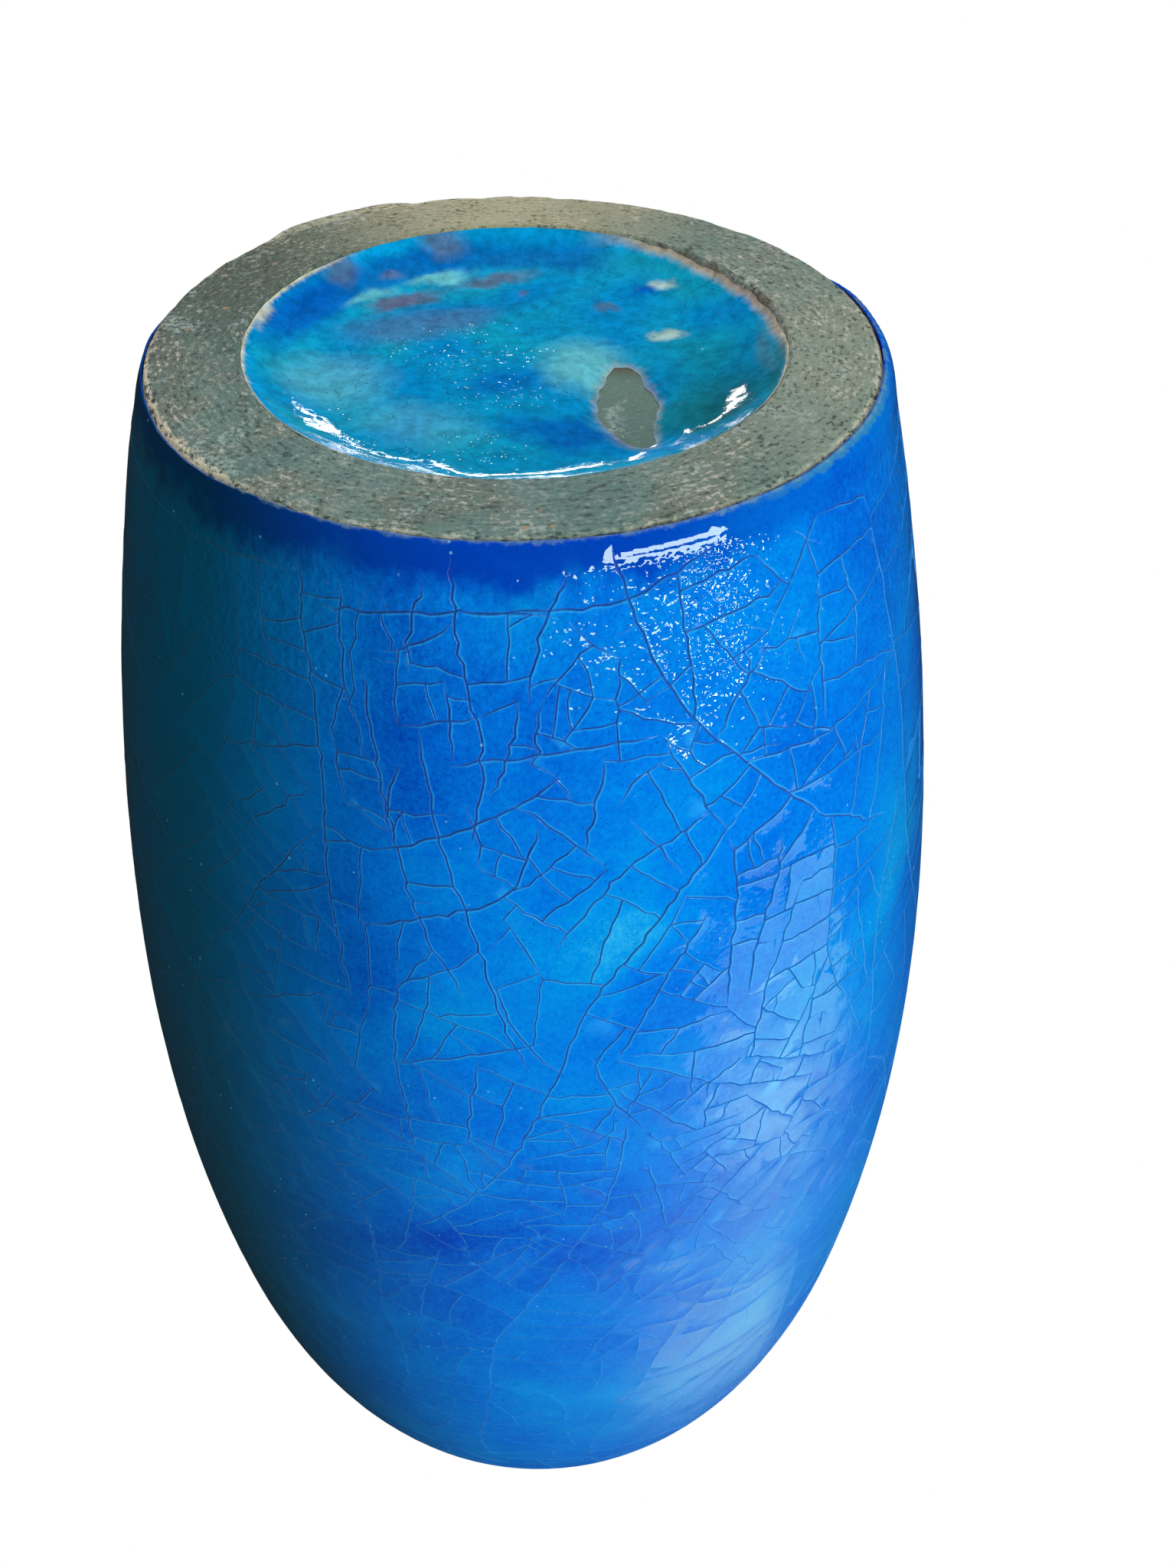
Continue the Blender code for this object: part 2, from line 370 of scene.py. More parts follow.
def add_floor():
    bpy.ops.object.select_all(action="DESELECT")
    bpy.ops.mesh.primitive_plane_add(size=FLOOR_SIZE, location=(0, 0, -FLOOR_DROP))
    floor = bpy.context.object
    floor.name = "floor"
    material, tree, shader = new_finish("pale_floor")
    shader.inputs["Base Color"].default_value = (0.86, 0.86, 0.85, 1)
    shader.inputs["Roughness"].default_value = 0.9
    behind = add_node(tree, "ShaderNodeNewGeometry").outputs["Backfacing"]
    clear = add_node(tree, "ShaderNodeBsdfTransparent").outputs[0]
    one_sided = add_node(tree, "ShaderNodeMixShader", [(0, behind), (1, shader.outputs[0]), (2, clear)])
    tree.links.new(one_sided.outputs[0], tree.nodes["Material Output"].inputs["Surface"])
    floor.data.materials.append(material)
    only_for(floor, camera=True)


add_world()
add_lamp("sky_on_the_side", (-0.60, -0.26, 0.49), (0.52, 0.34), 0.58, SKY_COLOUR)
add_lamp("bright_sky", (-0.56, -0.27, 0.58), (0.26, 0.16), 0.20, SKY_COLOUR)
add_lamp("sky_overhead", (-0.29, -0.16, 0.73), (0.30, 0.15), 0.17, SKY_COLOUR)
add_lamp("small_bright_lamp", (-0.67, -0.47, 0.0), (0.09, 0.06), 0.50, (0.9, 1.0, 0.80))
add_lamp("low_window", (-0.50, -0.58, -0.26), (0.46, 0.12), 2.8, (0.80, 1.0, 0.74))
add_lamp("window_behind", (0.05, 0.80, -0.26), (0.07, 0.045), 0.13, (1.0, 0.97, 0.90))
add_lamp("broad_front_light", (-0.46, -0.72, -0.22), (0.7, 0.7), 3.6, mirrored=False)
add_lamp("light_from_above", (-0.45, -0.30, 0.65), (0.6, 0.6), 3.6, mirrored=False)
add_lamp("light_from_below", (0.05, 0.40, -0.75), (0.5, 0.5), 5.2, mirrored=False)
add_lamp("warm_side_light", (0.80, -0.15, 0.20), (0.5, 0.9), 1.0, (1.0, 0.80, 0.52), mirrored=False)
add_tent()
add_floor()
bpy.context.scene.view_settings.view_transform = "Standard"

# %% [markdown]
# ## The crackle
# When a glaze shrinks more than its clay, it cracks. Long cracks come first, later ones start on an old
# crack at about a right angle and stop at the next one, and the last are short and end in the glaze. A
# Voronoi texture gives round cells with no such history, so here the cracks are grown step by step on the
# unrolled coat, in the order in which they come on the pot. The place round the pot is an angle, the place
# along it a length. The longest cracks on the front are listed one by one, and the others grow between them.
# They keep off the thick roll of glaze above the foot, which stays whole.

# %% Places on the unrolled coat
SEAM_TURN = math.pi / 2
STEP = 0.0015
radius_table = np.interp(np.arange(0, COAT_LENGTH + 2 * STEP, STEP), coat_runs, coat_path[:, 0]).tolist()


def radius_at(run):
    return radius_table[min(max(int(run / STEP), 0), len(radius_table) - 1)]


def wander(run):
    """The sheet's join wanders round the pot as a crack does."""
    return 0.05 * np.sin(run * 42) + 0.03 * np.sin(run * 97 + 1)


def sheet_place(degrees, height_mm):
    """Place on the sheet of an angle round the pot and a height below the neck."""
    run = float(np.interp(height_mm / 1000, coat_path[:-30, 1], coat_runs[:-30]))
    return (math.radians(degrees) - SEAM_TURN - float(wander(run))) % TURN, run


def soft_step(value, low, high):
    share = min(max((value - low) / (high - low), 0), 1)
    return share * share * (3 - 2 * share)


def from_front(turn, run):
    """Angle from the middle of the front, in radians."""
    angle = SEAM_TURN + turn + float(wander(run))
    return abs((angle + 1.7 + math.pi) % TURN - math.pi)


def coarseness(turn, run):
    """0 on the front near the foot, where the crackle is finest, to 1 elsewhere."""
    return max(soft_step(from_front(turn, run), 0.62, 1.1), 0.7 * soft_step(run, 0.100, 0.170))


def cell_size(turn, run):
    """Width at which a cell still breaks, uneven everywhere."""
    angle = SEAM_TURN + turn
    uneven = noise.noise(Vector((math.cos(angle) * 2.2, math.sin(angle) * 2.2, run * 34)))
    return (0.0030 + 0.0080 * coarseness(turn, run)) * (1 + 0.4 * uneven)


# %% Helpers that grow cracks
MEET = 0.0008
BIN = 0.002
MEAN_RADIUS = 0.06
EDGE_CLEAR = 0.0006
ROLL_CLEAR = 0.0045
SEAM_WIDTH = 0.0003
KINK = 0.00015
chance = random.Random(11)
cracks = []
crack_bins = {}


def bin_of(turn, run):
    return int(turn * MEAN_RADIUS / BIN), int(run / BIN)


def nearest_crack(turn, run, reach, passed=None):
    """Nearest place on the cracks so far, as a distance and its turn, run, crack and heading."""
    row, column = bin_of(turn, run)
    radius = radius_at(run)
    across = 1 + int(reach / BIN * MEAN_RADIUS / radius)
    along = 1 + int(reach / BIN)
    best, found = reach, None
    for i in range(row - across, row + across + 1):
        for j in range(column - along, column + along + 1):
            for place in crack_bins.get((i, j), ()):
                gap = math.hypot((place[0] - turn) * radius, place[1] - run)
                if gap < best and place[2] != passed:
                    best, found = gap, place
    return best, found


def run_crack(turn, run, heading, length, bend, wobble, host=None, crossing=0.0):
    """Points of a crack from a place on, until it meets another one or its length is run."""
    points = []
    passed = host
    for i in range(int(length / STEP)):
        heading += bend * STEP + chance.gauss(0, wobble)
        run += STEP * math.cos(heading)
        turn += STEP * math.sin(heading) / radius_at(run)
        edge = EDGE_CLEAR / radius_at(run)
        if not (ROLL_CLEAR < run < COAT_LENGTH - EDGE_CLEAR and edge < turn < TURN - edge):
            break
        met = nearest_crack(turn, run, MEET, passed)[1]
        if met and chance.random() < crossing:
            passed = met[2]
        elif met:
            points.append((met[0], met[1]))
            return points, True
        points.append((turn, run))
        if i == 2:
            passed = None
    return points, False


def kinked(point):
    """A place moved by a hair, because a crack runs in small kinks."""
    turn, run = point
    return turn + chance.gauss(0, KINK) / radius_at(run), run + chance.gauss(0, KINK)


def keep_crack(points, width, depth, ends=(True, True)):
    """Stores a crack and where it runs, with the side of its raised lip and which ends are free."""
    index = len(cracks)
    side = 0
    points = [points[0]] + [kinked(point) for point in points[1:-1]] + [points[-1]]
    for (turn, run), (next_turn, next_run) in zip(points, points[1:]):
        heading = math.atan2((next_turn - turn) * radius_at(run), next_run - run)
        side += math.cos(heading) * math.sin(SEAM_TURN + turn) - 0.4 * math.sin(heading)
        for share in (0, 1 / 3, 2 / 3):
            spot = (turn + (next_turn - turn) * share, run + (next_run - run) * share)
            crack_bins.setdefault(bin_of(*spot), []).append((*spot, index, heading))
    cracks.append((points, width, depth, 1 if side > 0 else -1, ends))


def both_ways(turn, run, heading, length, bend, wobble, width, depth, crossing=0.0):
    back = run_crack(turn, run, heading + math.pi, length, bend, wobble, None, crossing)[0]
    ahead = run_crack(turn, run, heading, length, -bend, wobble, None, crossing)[0]
    points = back[::-1] + [(turn, run)] + ahead
    if len(points) > 8:
        keep_crack(points, width, depth)


# %% The longest cracks on the front, as degrees round the pot and millimetres up it
FRONT_CRACKS = (
    ((-84, 1), (-85, 10), (-88, 23), (-86, 34)), ((-80, 20), (-82, 33), (-87, 50), (-92, 68)),
    ((-73, 14), (-76, 31), (-79, 44), (-85, 56)), ((-99, 3), (-95, 8), (-93, 17)),
    ((-104, 1), (-107, 10), (-112, 20), (-121, 30), (-132, 42)), ((-115, 33), (-103, 38), (-95, 48)),
    ((-119, 34), (-109, 44), (-99, 57), (-95, 70), (-90, 84), (-84, 95), (-77, 104)),
    ((-114, 47), (-109, 54), (-102, 68)), ((-117, 37), (-118, 46), (-116, 64)),
    ((-74, 36), (-82, 33), (-89, 30), (-97, 25)), ((-73, 47), (-83, 43), (-90, 41), (-94, 31)),
    ((-66, 9), (-85, 7), (-105, 7), (-118, 3)), ((-64, 4), (-67, 20), (-68, 40), (-71, 60)),
    ((-70, 5), (-70, 13), (-72, 20)), ((-69, 22), (-70, 27), (-71, 31)), ((-85, 8), (-80, 11), (-75, 12)),
    ((-81, 4), (-79, 8), (-79, 14)), ((-83, 14), (-84, 19), (-84, 24)), ((-78, 24), (-76, 28), (-76, 34)),
    ((-92, 16), (-91, 22), (-88, 28)), ((-95, 16), (-93, 23), (-97, 26)),
    ((-102, 23), (-100, 31), (-99, 36)), ((-85, 28), (-87, 33), (-87, 37)),
    ((-89, 28), (-96, 31), (-102, 38)), ((-98, 8), (-101, 11), (-105, 13)),
    ((-109, 22), (-113, 31), (-117, 37)), ((-110, 25), (-106, 26), (-103, 30)),
    ((-104, 31), (-108, 36), (-111, 41)), ((-83, 24), (-90, 23), (-97, 22), (-109, 22)),
    ((-125, 40), (-124, 46), (-120, 56), (-119, 64)), ((-134, 11), (-133, 19), (-133, 29)),
    ((-77, 20), (-82, 19), (-88, 18)), ((-124, 16), (-118, 21), (-116, 25)),
    ((-118, 28), (-122, 25), (-128, 27)), ((-77, 54), (-77, 75), (-78, 86)),
    ((-86, 66), (-85, 75), (-84, 83)), ((-88, 52), (-91, 63), (-96, 69)),
    ((-99, 66), (-102, 76), (-106, 83)), ((-75, 69), (-85, 65), (-94, 63)),
    ((-105, 88), (-107, 99), (-108, 108)), ((-98, 8), (-92, 7), (-85, 7)),
    ((-89, 43), (-92, 48), (-94, 53)),
)

# %% Grow the cracks in their order, each kind with the width and depth of its groove
FRONT_CUT = (0.00038, 0.00018)
LONG_CUT = (0.00036, 0.00018)
RING_CUT = (0.00032, 0.00015)
EARLY_CUT = (0.00031, 0.00014)
LATE_CUT = (0.00028, 0.00012)
RING_RUN = 0.0085


def lay_front_cracks():
    for marks in FRONT_CRACKS:
        ends = [sheet_place(*mark) for mark in marks]
        runs = run_lengths([(turn * radius_at(run), run) for turn, run in ends])
        marks_along = np.linspace(0, runs[-1], int(runs[-1] / STEP) + 1)
        turns = np.interp(marks_along, runs, [turn for turn, run in ends])
        heights = np.interp(marks_along, runs, [run for turn, run in ends])
        if len(turns) > 8:
            turns[3:-3] = np.convolve(turns, np.ones(7) / 7, "valid")
            heights[3:-3] = np.convolve(heights, np.ones(7) / 7, "valid")
        keep_crack(list(zip(turns.tolist(), heights.tolist())), *FRONT_CUT)


def grow_ring_cracks():
    """Cracks that run round the pot close above the foot."""
    for i in range(7):
        turn = TURN * (i + 0.5) / 7
        run = RING_RUN + chance.uniform(-0.002, 0.002)
        if not nearest_crack(turn, run, 0.006)[1]:
            both_ways(turn, run, math.pi / 2, 0.04, chance.uniform(-2, 2), 0.03, *RING_CUT)


def grow_long_cracks():
    """First cracks: most run up and down, some slant."""
    for i in range(120):
        turn = chance.uniform(0.05, TURN - 0.05)
        run = chance.uniform(ROLL_CLEAR, COAT_LENGTH - 0.03)
        slant = chance.choice((0, 0, 0, 0.6, -0.6))
        heading = slant + chance.gauss(0, 0.2)
        if not nearest_crack(turn, run, 0.011)[1]:
            length, bend = chance.uniform(0.03, 0.10), chance.uniform(-5, 5)
            both_ways(turn, run, heading, length, bend, 0.03, *LONG_CUT, crossing=0.1)


def break_wide_cells(count, width, depth):
    """Cracks that start square on an older one and run across a cell that is still wide."""
    for i in range(count):
        turn = chance.uniform(0.01, TURN - 0.01)
        run = chance.uniform(ROLL_CLEAR, COAT_LENGTH - 0.001)
        size = cell_size(turn, run)
        if nearest_crack(turn, run, 0.55 * size)[1]:
            continue
        point = nearest_crack(turn, run, 3 * size)[1]
        if not point:
            continue
        heading = math.atan2((turn - point[0]) * radius_at(run), run - point[1]) + chance.gauss(0, 0.15)
        length = 5 * size if chance.random() < 0.85 else 0.9 * size
        points, met = run_crack(point[0], point[1], heading, length, chance.gauss(0, 14), 0.05, point[2])
        if len(points) > 1:
            keep_crack([(point[0], point[1])] + points, width, depth, (False, not met))


def grow_short_ends(count):
    """Last cracks: short, starting on an older one on the front and ending in the glaze."""
    while count:
        turn, run = chance.choice(chance.choice(cracks)[0])
        point = nearest_crack(turn, run, MEET)[1]
        if not point or coarseness(turn, run) > chance.random():
            continue
        count -= 1
        heading = point[3] + chance.choice((-1, 1)) * chance.uniform(1.2, 1.9)
        length = chance.uniform(0.003, 0.006)
        points, met = run_crack(turn, run, heading, length, chance.gauss(0, 60), 0.08, point[2])
        if len(points) > 1:
            keep_crack([(turn, run)] + points, *LATE_CUT, (False, not met))


def thinned(points):
    """Every second point of a crack off the front, where nobody looks closely."""
    if coarseness(*points[len(points) // 2]) < 0.5 or len(points) < 5:
        return points
    return points[:-1:2] + points[-1:]


lay_front_cracks()
grow_ring_cracks()
grow_long_cracks()
break_wide_cells(12000, *EARLY_CUT)
break_wide_cells(12000, *LATE_CUT)
grow_short_ends(320)
crack_length = STEP * sum(len(crack[0]) for crack in cracks)
cracks = [(thinned(crack[0]), *crack[1:]) for crack in cracks]
print("%d cracks, %.1f m of them" % (len(cracks), crack_length))

# %% [markdown]
# ## The outside coat
# The coat is cut along the cracks: each crack becomes a groove with a dark bottom, and the glaze on one side
# of it stands up a little as a lip that catches the light. On the unrolled sheet these are lines that the
# triangles must follow, which is what a constrained Delaunay triangulation gives. The sheet is then wrapped
# on the outline. Every glaze cell is tipped by a hair, because on the pot a reflection breaks at the cracks.
# The join of the sheet is itself a crack, on the far side. Above the foot the coat swells into a roll with a
# ragged edge, and at the back the foot bulges, as it left the potter's hands.

# %% Lines and triangles of the sheet
CRACK_LINES = (-1, 0, 1, 2.2)
FILL = 0.0034
FOOT_STEP = 0.0016
LIP_STEP = 0.0008
FOOT_ZONE = 0.007
FOOT_ROWS = (0.0001, 0.0002, 0.00035, 0.0006, 0.0009, 0.0013, 0.0018, 0.0024, 0.0031, 0.0040, 0.0052)
FILL_STOPS = 0.038
LIP_ROWS_START = 0.036
SEAM_CLEAR = 0.012


class Sheet:
    """Points and lines on the unrolled coat, as the triangulation takes them."""

    def __init__(self):
        self.points = []
        self.lines = []

    def add_line(self, points, closed=False):
        first = len(self.points)
        self.points += [Vector((turn * MEAN_RADIUS, run)) for turn, run in points]
        self.lines += [(first + i, first + i + 1) for i in range(len(points) - 1)]
        if closed:
            self.lines.append((len(self.points) - 1, first))

    def triangles(self):
        found = delaunay_2d_cdt(self.points, self.lines, [], 0, 1e-7)
        flat = np.array(found[0])
        return flat[:, 0] / MEAN_RADIUS, flat[:, 1], np.array(found[2])


def spaced(low, high, step):
    return np.linspace(low, high, max(int(round((high - low) / step)), 1) + 1).tolist()


def headings_of(points):
    path = np.array(points)
    radius = np.array([radius_at(run) for run in path[:, 1]])
    return np.arctan2(np.gradient(path[:, 0]) * radius, np.gradient(path[:, 1])), radius


def steps_to_end(points, ends):
    """How many points away the nearest end is that meets no other crack."""
    count = len(points)
    order = np.arange(count)
    from_start = order if ends[0] else np.full(count, count)
    from_end = order[::-1] if ends[1] else np.full(count, count)
    return np.minimum(from_start, from_end)


def tapers_of(points, ends):
    """A crack is narrower at an end that meets no other, and fainter on the sides and the upper half."""
    faint = [max(soft_step(run, 0.080, 0.15), soft_step(from_front(turn, run), 0.65, 1.1))
             for turn, run in points]
    return np.minimum(1, 0.35 + 0.3 * steps_to_end(points, ends)) * (1 - 0.45 * np.array(faint))


def inside_sheet(points):
    """The same places, kept off the join and off both ends of the coat."""
    kept = []
    low, high = EDGE_CLEAR / 2, COAT_LENGTH - EDGE_CLEAR / 2
    for turn, run in points:
        edge = (SEAM_WIDTH / 2 + 0.00005) / radius_at(run)
        kept.append((min(max(turn, edge), TURN - edge), min(max(run, low), high)))
    return kept


def coat_border(low_turns, high_turns, runs):
    """Outline of the unrolled coat, once round."""
    border = [(turn, 0) for turn in low_turns] + [(TURN, run) for run in runs[1:-1]]
    border += [(turn, COAT_LENGTH) for turn in high_turns[::-1]]
    return border + [(0, run) for run in runs[-2:0:-1]]


def coat_rows():
    """Rows of points along the coat, each with the step between its points."""
    rows = [(run, FOOT_STEP) for run in FOOT_ROWS]
    rows += [(run, FILL) for run in spaced(FOOT_ZONE, COAT_LENGTH - FILL_STOPS, FILL)]
    lip_runs = spaced(COAT_LENGTH - LIP_ROWS_START, COAT_LENGTH - EDGE_CLEAR, LIP_STEP)
    return rows + [(run, LIP_STEP) for run in lip_runs]


def fill_sheet(sheet):
    """Adds points between the cracks: in neat rows at both ends, loosely strewn elsewhere."""
    for run, step in coat_rows():
        loose = step == FILL
        count = int(TURN * radius_at(run) / step)
        shift = chance.random()
        for i in range(count):
            turn = TURN * (i + 0.5 * shift + 0.2) / count + (chance.uniform(-0.012, 0.012) if loose else 0)
            place = (turn, run + (chance.uniform(-0.0007, 0.0007) if loose else 0))
            clear = 0.0006 if loose else 0.0004
            if SEAM_CLEAR < turn < TURN - SEAM_CLEAR and not nearest_crack(*place, clear)[1]:
                sheet.points.append(Vector((place[0] * MEAN_RADIUS, place[1])))


def coat_sheet():
    sheet = Sheet()
    runs = spaced(0, COAT_LENGTH, FOOT_STEP)
    foot_turns, lip_turns = spaced(0, TURN, TURN / 400), spaced(0, TURN, TURN / 240)
    sheet.add_line(coat_border(foot_turns, lip_turns, runs), closed=True)
    edge = [(SEAM_WIDTH / 2 / radius_at(run), run) for run in runs[1:-1]]
    sheet.add_line(edge)
    sheet.add_line([(TURN - turn, run) for turn, run in edge])
    for points, width, depth, side, ends in cracks:
        headings, radius = headings_of(points)
        reach = side * width / 2 * tapers_of(points, ends)
        for place in CRACK_LINES:
            turns = np.array(points)[:, 0] + place * reach * np.cos(headings) / radius
            heights = np.array(points)[:, 1] - place * reach * np.sin(headings)
            sheet.add_line(inside_sheet(zip(turns.tolist(), heights.tolist())))
    fill_sheet(sheet)
    return sheet


# %% Relief of the coat
LIP = 0.000025
CELL_TIP = 0.007
CELL_TIP_MOST = 0.00003


def wrapped(angle, run, runs, path, normals):
    """Place on a turned outline, direction outward and direction along the outline."""
    radius, height = (np.interp(run, runs, path[:, i]) for i in (0, 1))
    across, up = (np.interp(run, runs, normals[:, i]) for i in (0, 1))
    flat = np.stack([np.cos(angle), np.sin(angle)])
    place = np.stack([radius * flat[0], radius * flat[1], height], axis=1)
    out = np.stack([across * flat[0], across * flat[1], up], axis=1)
    along = np.stack([-up * flat[0], -up * flat[1], across], axis=1)
    return place, out, along


def on_coat(turn, run):
    """The same for places on the unrolled coat."""
    return wrapped(SEAM_TURN + turn + wander(run), run, coat_runs, coat_path, coat_normals)


def search_tree(places):
    tree = KDTree(len(places))
    for i, place in enumerate(places.tolist()):
        tree.insert(place, i)
    tree.balance()
    return tree


def crack_places():
    """Places close together along all cracks and the join, each with seven values of its crack there."""
    seam = [(0.0, run) for run in spaced(0, COAT_LENGTH, STEP)]
    far_seam = [(TURN, run) for turn, run in seam]
    seams = [(line, SEAM_WIDTH, RING_CUT[1], 0, (False, False)) for line in (seam, far_seam)]
    tables = []
    for points, width, depth, side, ends in cracks + seams:
        fine = np.linspace(0, len(points) - 1, 12 * (len(points) - 1) + 1)
        order = np.arange(len(points))
        path = np.array(points)
        headings = headings_of(points)[0]
        tapers = tapers_of(points, ends)
        whole = np.minimum(1, 0.4 * steps_to_end(points, ends))
        values = (path[:, 0], path[:, 1], np.cos(headings) * side, np.sin(headings) * side,
                  width / 2 * tapers, depth * tapers, whole)
        tables.append([np.interp(fine, order, value) for value in values])
    return np.concatenate(tables, axis=1)


def crack_relief(place):
    """For each point: height from the cracks, and how much it belongs to a groove and to a lip."""
    turns, runs, cosines, sines, halves, depths, whole = crack_places()
    centres, out, along = on_coat(turns, runs)
    sides = np.cross(along, out) * cosines[:, None] - along * sines[:, None]
    tree = search_tree(centres)
    nearest = np.array([tree.find(point)[1] for point in place.tolist()])
    offset = place - centres[nearest]
    gap = np.linalg.norm(offset, axis=1) / halves[nearest]
    lip_side = (offset * sides[nearest]).sum(axis=1) > 0
    groove = np.clip(1 - gap, 0, 1) * whole[nearest]
    lip = np.where(lip_side, np.interp(gap, (0, 1, 2.2), (0, 1, 0)), 0) * whole[nearest]
    deep = np.interp(place[:, 2], (0.045, 0.10, 0.255, 0.268), (0.75, 0.2, 0.2, 0.0))
    height = 2 * deep * LIP * lip * (groove < 0.5) - deep * depths[nearest] * groove
    return height, groove, lip


def cell_numbers(count, triangles, groove):
    """A number for each glaze cell at its points. Points in grooves have none, -1."""
    parent = list(range(count))

    def root(i):
        while parent[i] != i:
            parent[i] = parent[parent[i]]
            i = parent[i]
        return i

    for a, b, c in triangles[~groove[triangles].any(axis=1)].tolist():
        parent[root(b)] = root(a)
        parent[root(c)] = root(a)
    numbers = np.array([root(i) for i in range(count)])
    numbers[groove] = -1
    return numbers


def cell_tips(place, numbers):
    """Small heights that tip each cell about its middle."""
    height = np.zeros(len(place))
    order = np.argsort(numbers, kind="stable")
    names, starts = np.unique(numbers[order], return_index=True)
    picker = np.random.default_rng(5)
    for name, members in zip(names, np.split(order, starts[1:])):
        slope = picker.normal(0, CELL_TIP, 3)
        if name >= 0 and len(members) > 4:
            offset = place[members] - place[members].mean(axis=0)
            height[members] = np.clip(offset @ slope, -CELL_TIP_MOST, CELL_TIP_MOST)
    return height

# %% Masks of the coat
CELL_TONE = 0.02
# Spots of tone: angle in degrees, height in mm, size in mm and change of tone. The spot at -151 degrees and
# 60 mm is a painted reflection, a paler streak on the right side where the sky is mirrored.
CLOUDS = (
    (-84, 59, 9, 0.22), (-102, 45, 10, 0.34), (-82, 107, 12, -0.20), (-99, 111, 9, -0.16), (-91, 8, 6, 0.26),
    (-101, 9, 7, -0.12), (-79, 93, 8, 0.18), (-91, 100, 6, 0.15), (-90, 82, 8, -0.05), (-138, 33, 12, -0.06),
    (-122, 20, 9, -0.06), (-70, 75, 10, -0.10), (-60, 120, 16, -0.15), (-81, 24, 9, -0.12),
    (-74, 54, 10, -0.22), (-98, 71, 8, 0.08), (-151, 60, 10, 0.20), (-146, 10, 10, -0.22),
    (-150, 44, 8, 0.08), (-100, 170, 16, 0.14), (-90, 160, 12, 0.06),
)


def cell_tones(numbers):
    """A shade of its own for each cell."""
    names, which = np.unique(numbers, return_inverse=True)
    shades = np.random.default_rng(9).normal(0, CELL_TONE, len(names))
    return np.where(numbers < 0, 0, shades[which])


def noise_at(place, scale, shift=0.0):
    """Smooth noise from about -1 to 1 at an array of places."""
    offset = Vector((shift, 2 * shift, -shift))
    return np.array([noise.noise(Vector(point) * scale + offset) for point in place.tolist()])


def coat_clouds(place):
    """Tone of the blue, from 0, deep, to 1, pale: broad noise, soft spots on the front, and a painted
    reflection on the right side.
    """
    tone = 0.5 + 0.12 * noise_at(place, 34) + 0.10 * noise_at(place, 90, 5)
    warp = [noise_at(place, 80, shift) + 0.6 * noise_at(place, 240, shift) for shift in (11, 17, 23)]
    warp = 0.0065 * np.stack(warp, axis=1)
    for degrees, height_mm, size_mm, change in CLOUDS:
        middle = on_coat(*(np.array([value]) for value in sheet_place(degrees, height_mm)))[0]
        gap = np.linalg.norm(place + warp - middle, axis=1) / (size_mm / 1000)
        tone += change * np.exp(-gap ** 2)
    return tone


def around(place, low, high, soft):
    """1 between two angles in degrees round the axis, with soft ends."""
    angle = np.degrees(np.arctan2(place[:, 1], place[:, 0]))
    middle, half = (low + high) / 2, (high - low) / 2
    away = np.abs((angle - middle + 180) % 360 - 180)
    share = np.clip((half + soft / 2 - away) / soft, 0, 1)
    return share * share * (3 - 2 * share)


# %% Lay the coat
COAT = 0.0008
BEAD = 0.0018
ROLL_SWELL = 0.00012
ROLL_RUN = 0.0028
ROLL_SPREAD = 0.0018
SLIM = 0.0006
SLIM_RUN = 0.008
WAVE = 0.00011
BACK_STEP = 0.006
BACK_COLUMNS = 60


def paint(mesh, name, values):
    """Stores one mask on the points of a mesh."""
    mask = mesh.attributes.new(name, "FLOAT", "POINT")
    mask.data.foreach_set("value", np.asarray(values, dtype=np.float32))


def shell(name, face, face_triangles, back, back_triangles, walls):
    """A closed mesh of a face, a back and the walls between their borders."""
    mesh = bpy.data.meshes.new(name)
    faces = face_triangles.tolist() + (back_triangles[:, ::-1] + len(face)).tolist() + walls
    mesh.from_pydata(np.concatenate([face, back]).tolist(), [], faces)
    piece = bpy.data.objects.new(name, mesh)
    bpy.context.scene.collection.objects.link(piece)
    return piece


def finish_mesh(piece, sharp):
    """Closes the join, turns the faces outward and shades the mesh smooth up to an angle in degrees."""
    shape = bmesh.new()
    shape.from_mesh(piece.data)
    bmesh.ops.remove_doubles(shape, verts=shape.verts, dist=2e-6)
    bmesh.ops.dissolve_degenerate(shape, edges=shape.edges, dist=1e-7)
    bmesh.ops.recalc_face_normals(shape, faces=shape.faces)
    open_edges = sum(1 for edge in shape.edges if not edge.is_manifold)
    shape.to_mesh(piece.data)
    shape.free()
    piece.data.shade_smooth()
    piece.data.set_sharp_from_angle(angle=math.radians(sharp))
    print("%s: %d faces, %d open edges" % (piece.name, len(piece.data.polygons), open_edges))


def border_walls(turn, run, back_turn, back_run):
    """Quads that close the coat at its foot and at its lip."""
    walls = []
    for level, flip in ((0, False), (COAT_LENGTH, True)):
        rows = []
        for turns, runs, first in ((turn, run, 0), (back_turn, back_run, len(turn))):
            row = np.where(np.isclose(runs, level, atol=1e-7))[0]
            rows.append((row[np.argsort(turns[row])] + first).tolist())
        for a, b, c, d in zip(rows[0], rows[1], rows[1][1:], rows[0][1:]):
            walls.append([d, c, b, a] if flip else [a, b, c, d])
    return walls


def coat_edge(place):
    """How far the coat's lower edge keeps off the foot: it is worn away on one side and wavers elsewhere."""
    ragged = noise_at(place, 150) + 0.6 * noise_at(place, 420, 3)
    worn = around(place, -50, 0, 24)
    behind = around(place, 4, 158, 16)
    return 0.0001 + 0.0007 * worn + 0.0013 * behind + (0.0001 + 0.0002 * worn) * np.clip(ragged, -1, 1)


def out_of_round(place):
    """Places near the foot moved outward at the back, where it bulges."""
    radius = np.hypot(place[:, 0], place[:, 1])
    bulge = 0.0006 * around(place, 25, 90, 30) + 0.0015 * around(place, 40, 66, 10)
    bulge *= np.clip(1 - place[:, 2] / 0.012, 0, 1) * np.clip((radius - 0.037) / 0.006, 0, 1)
    return np.c_[place[:, :2] * (1 + bulge / np.maximum(radius, 0.001))[:, None], place[:, 2]]


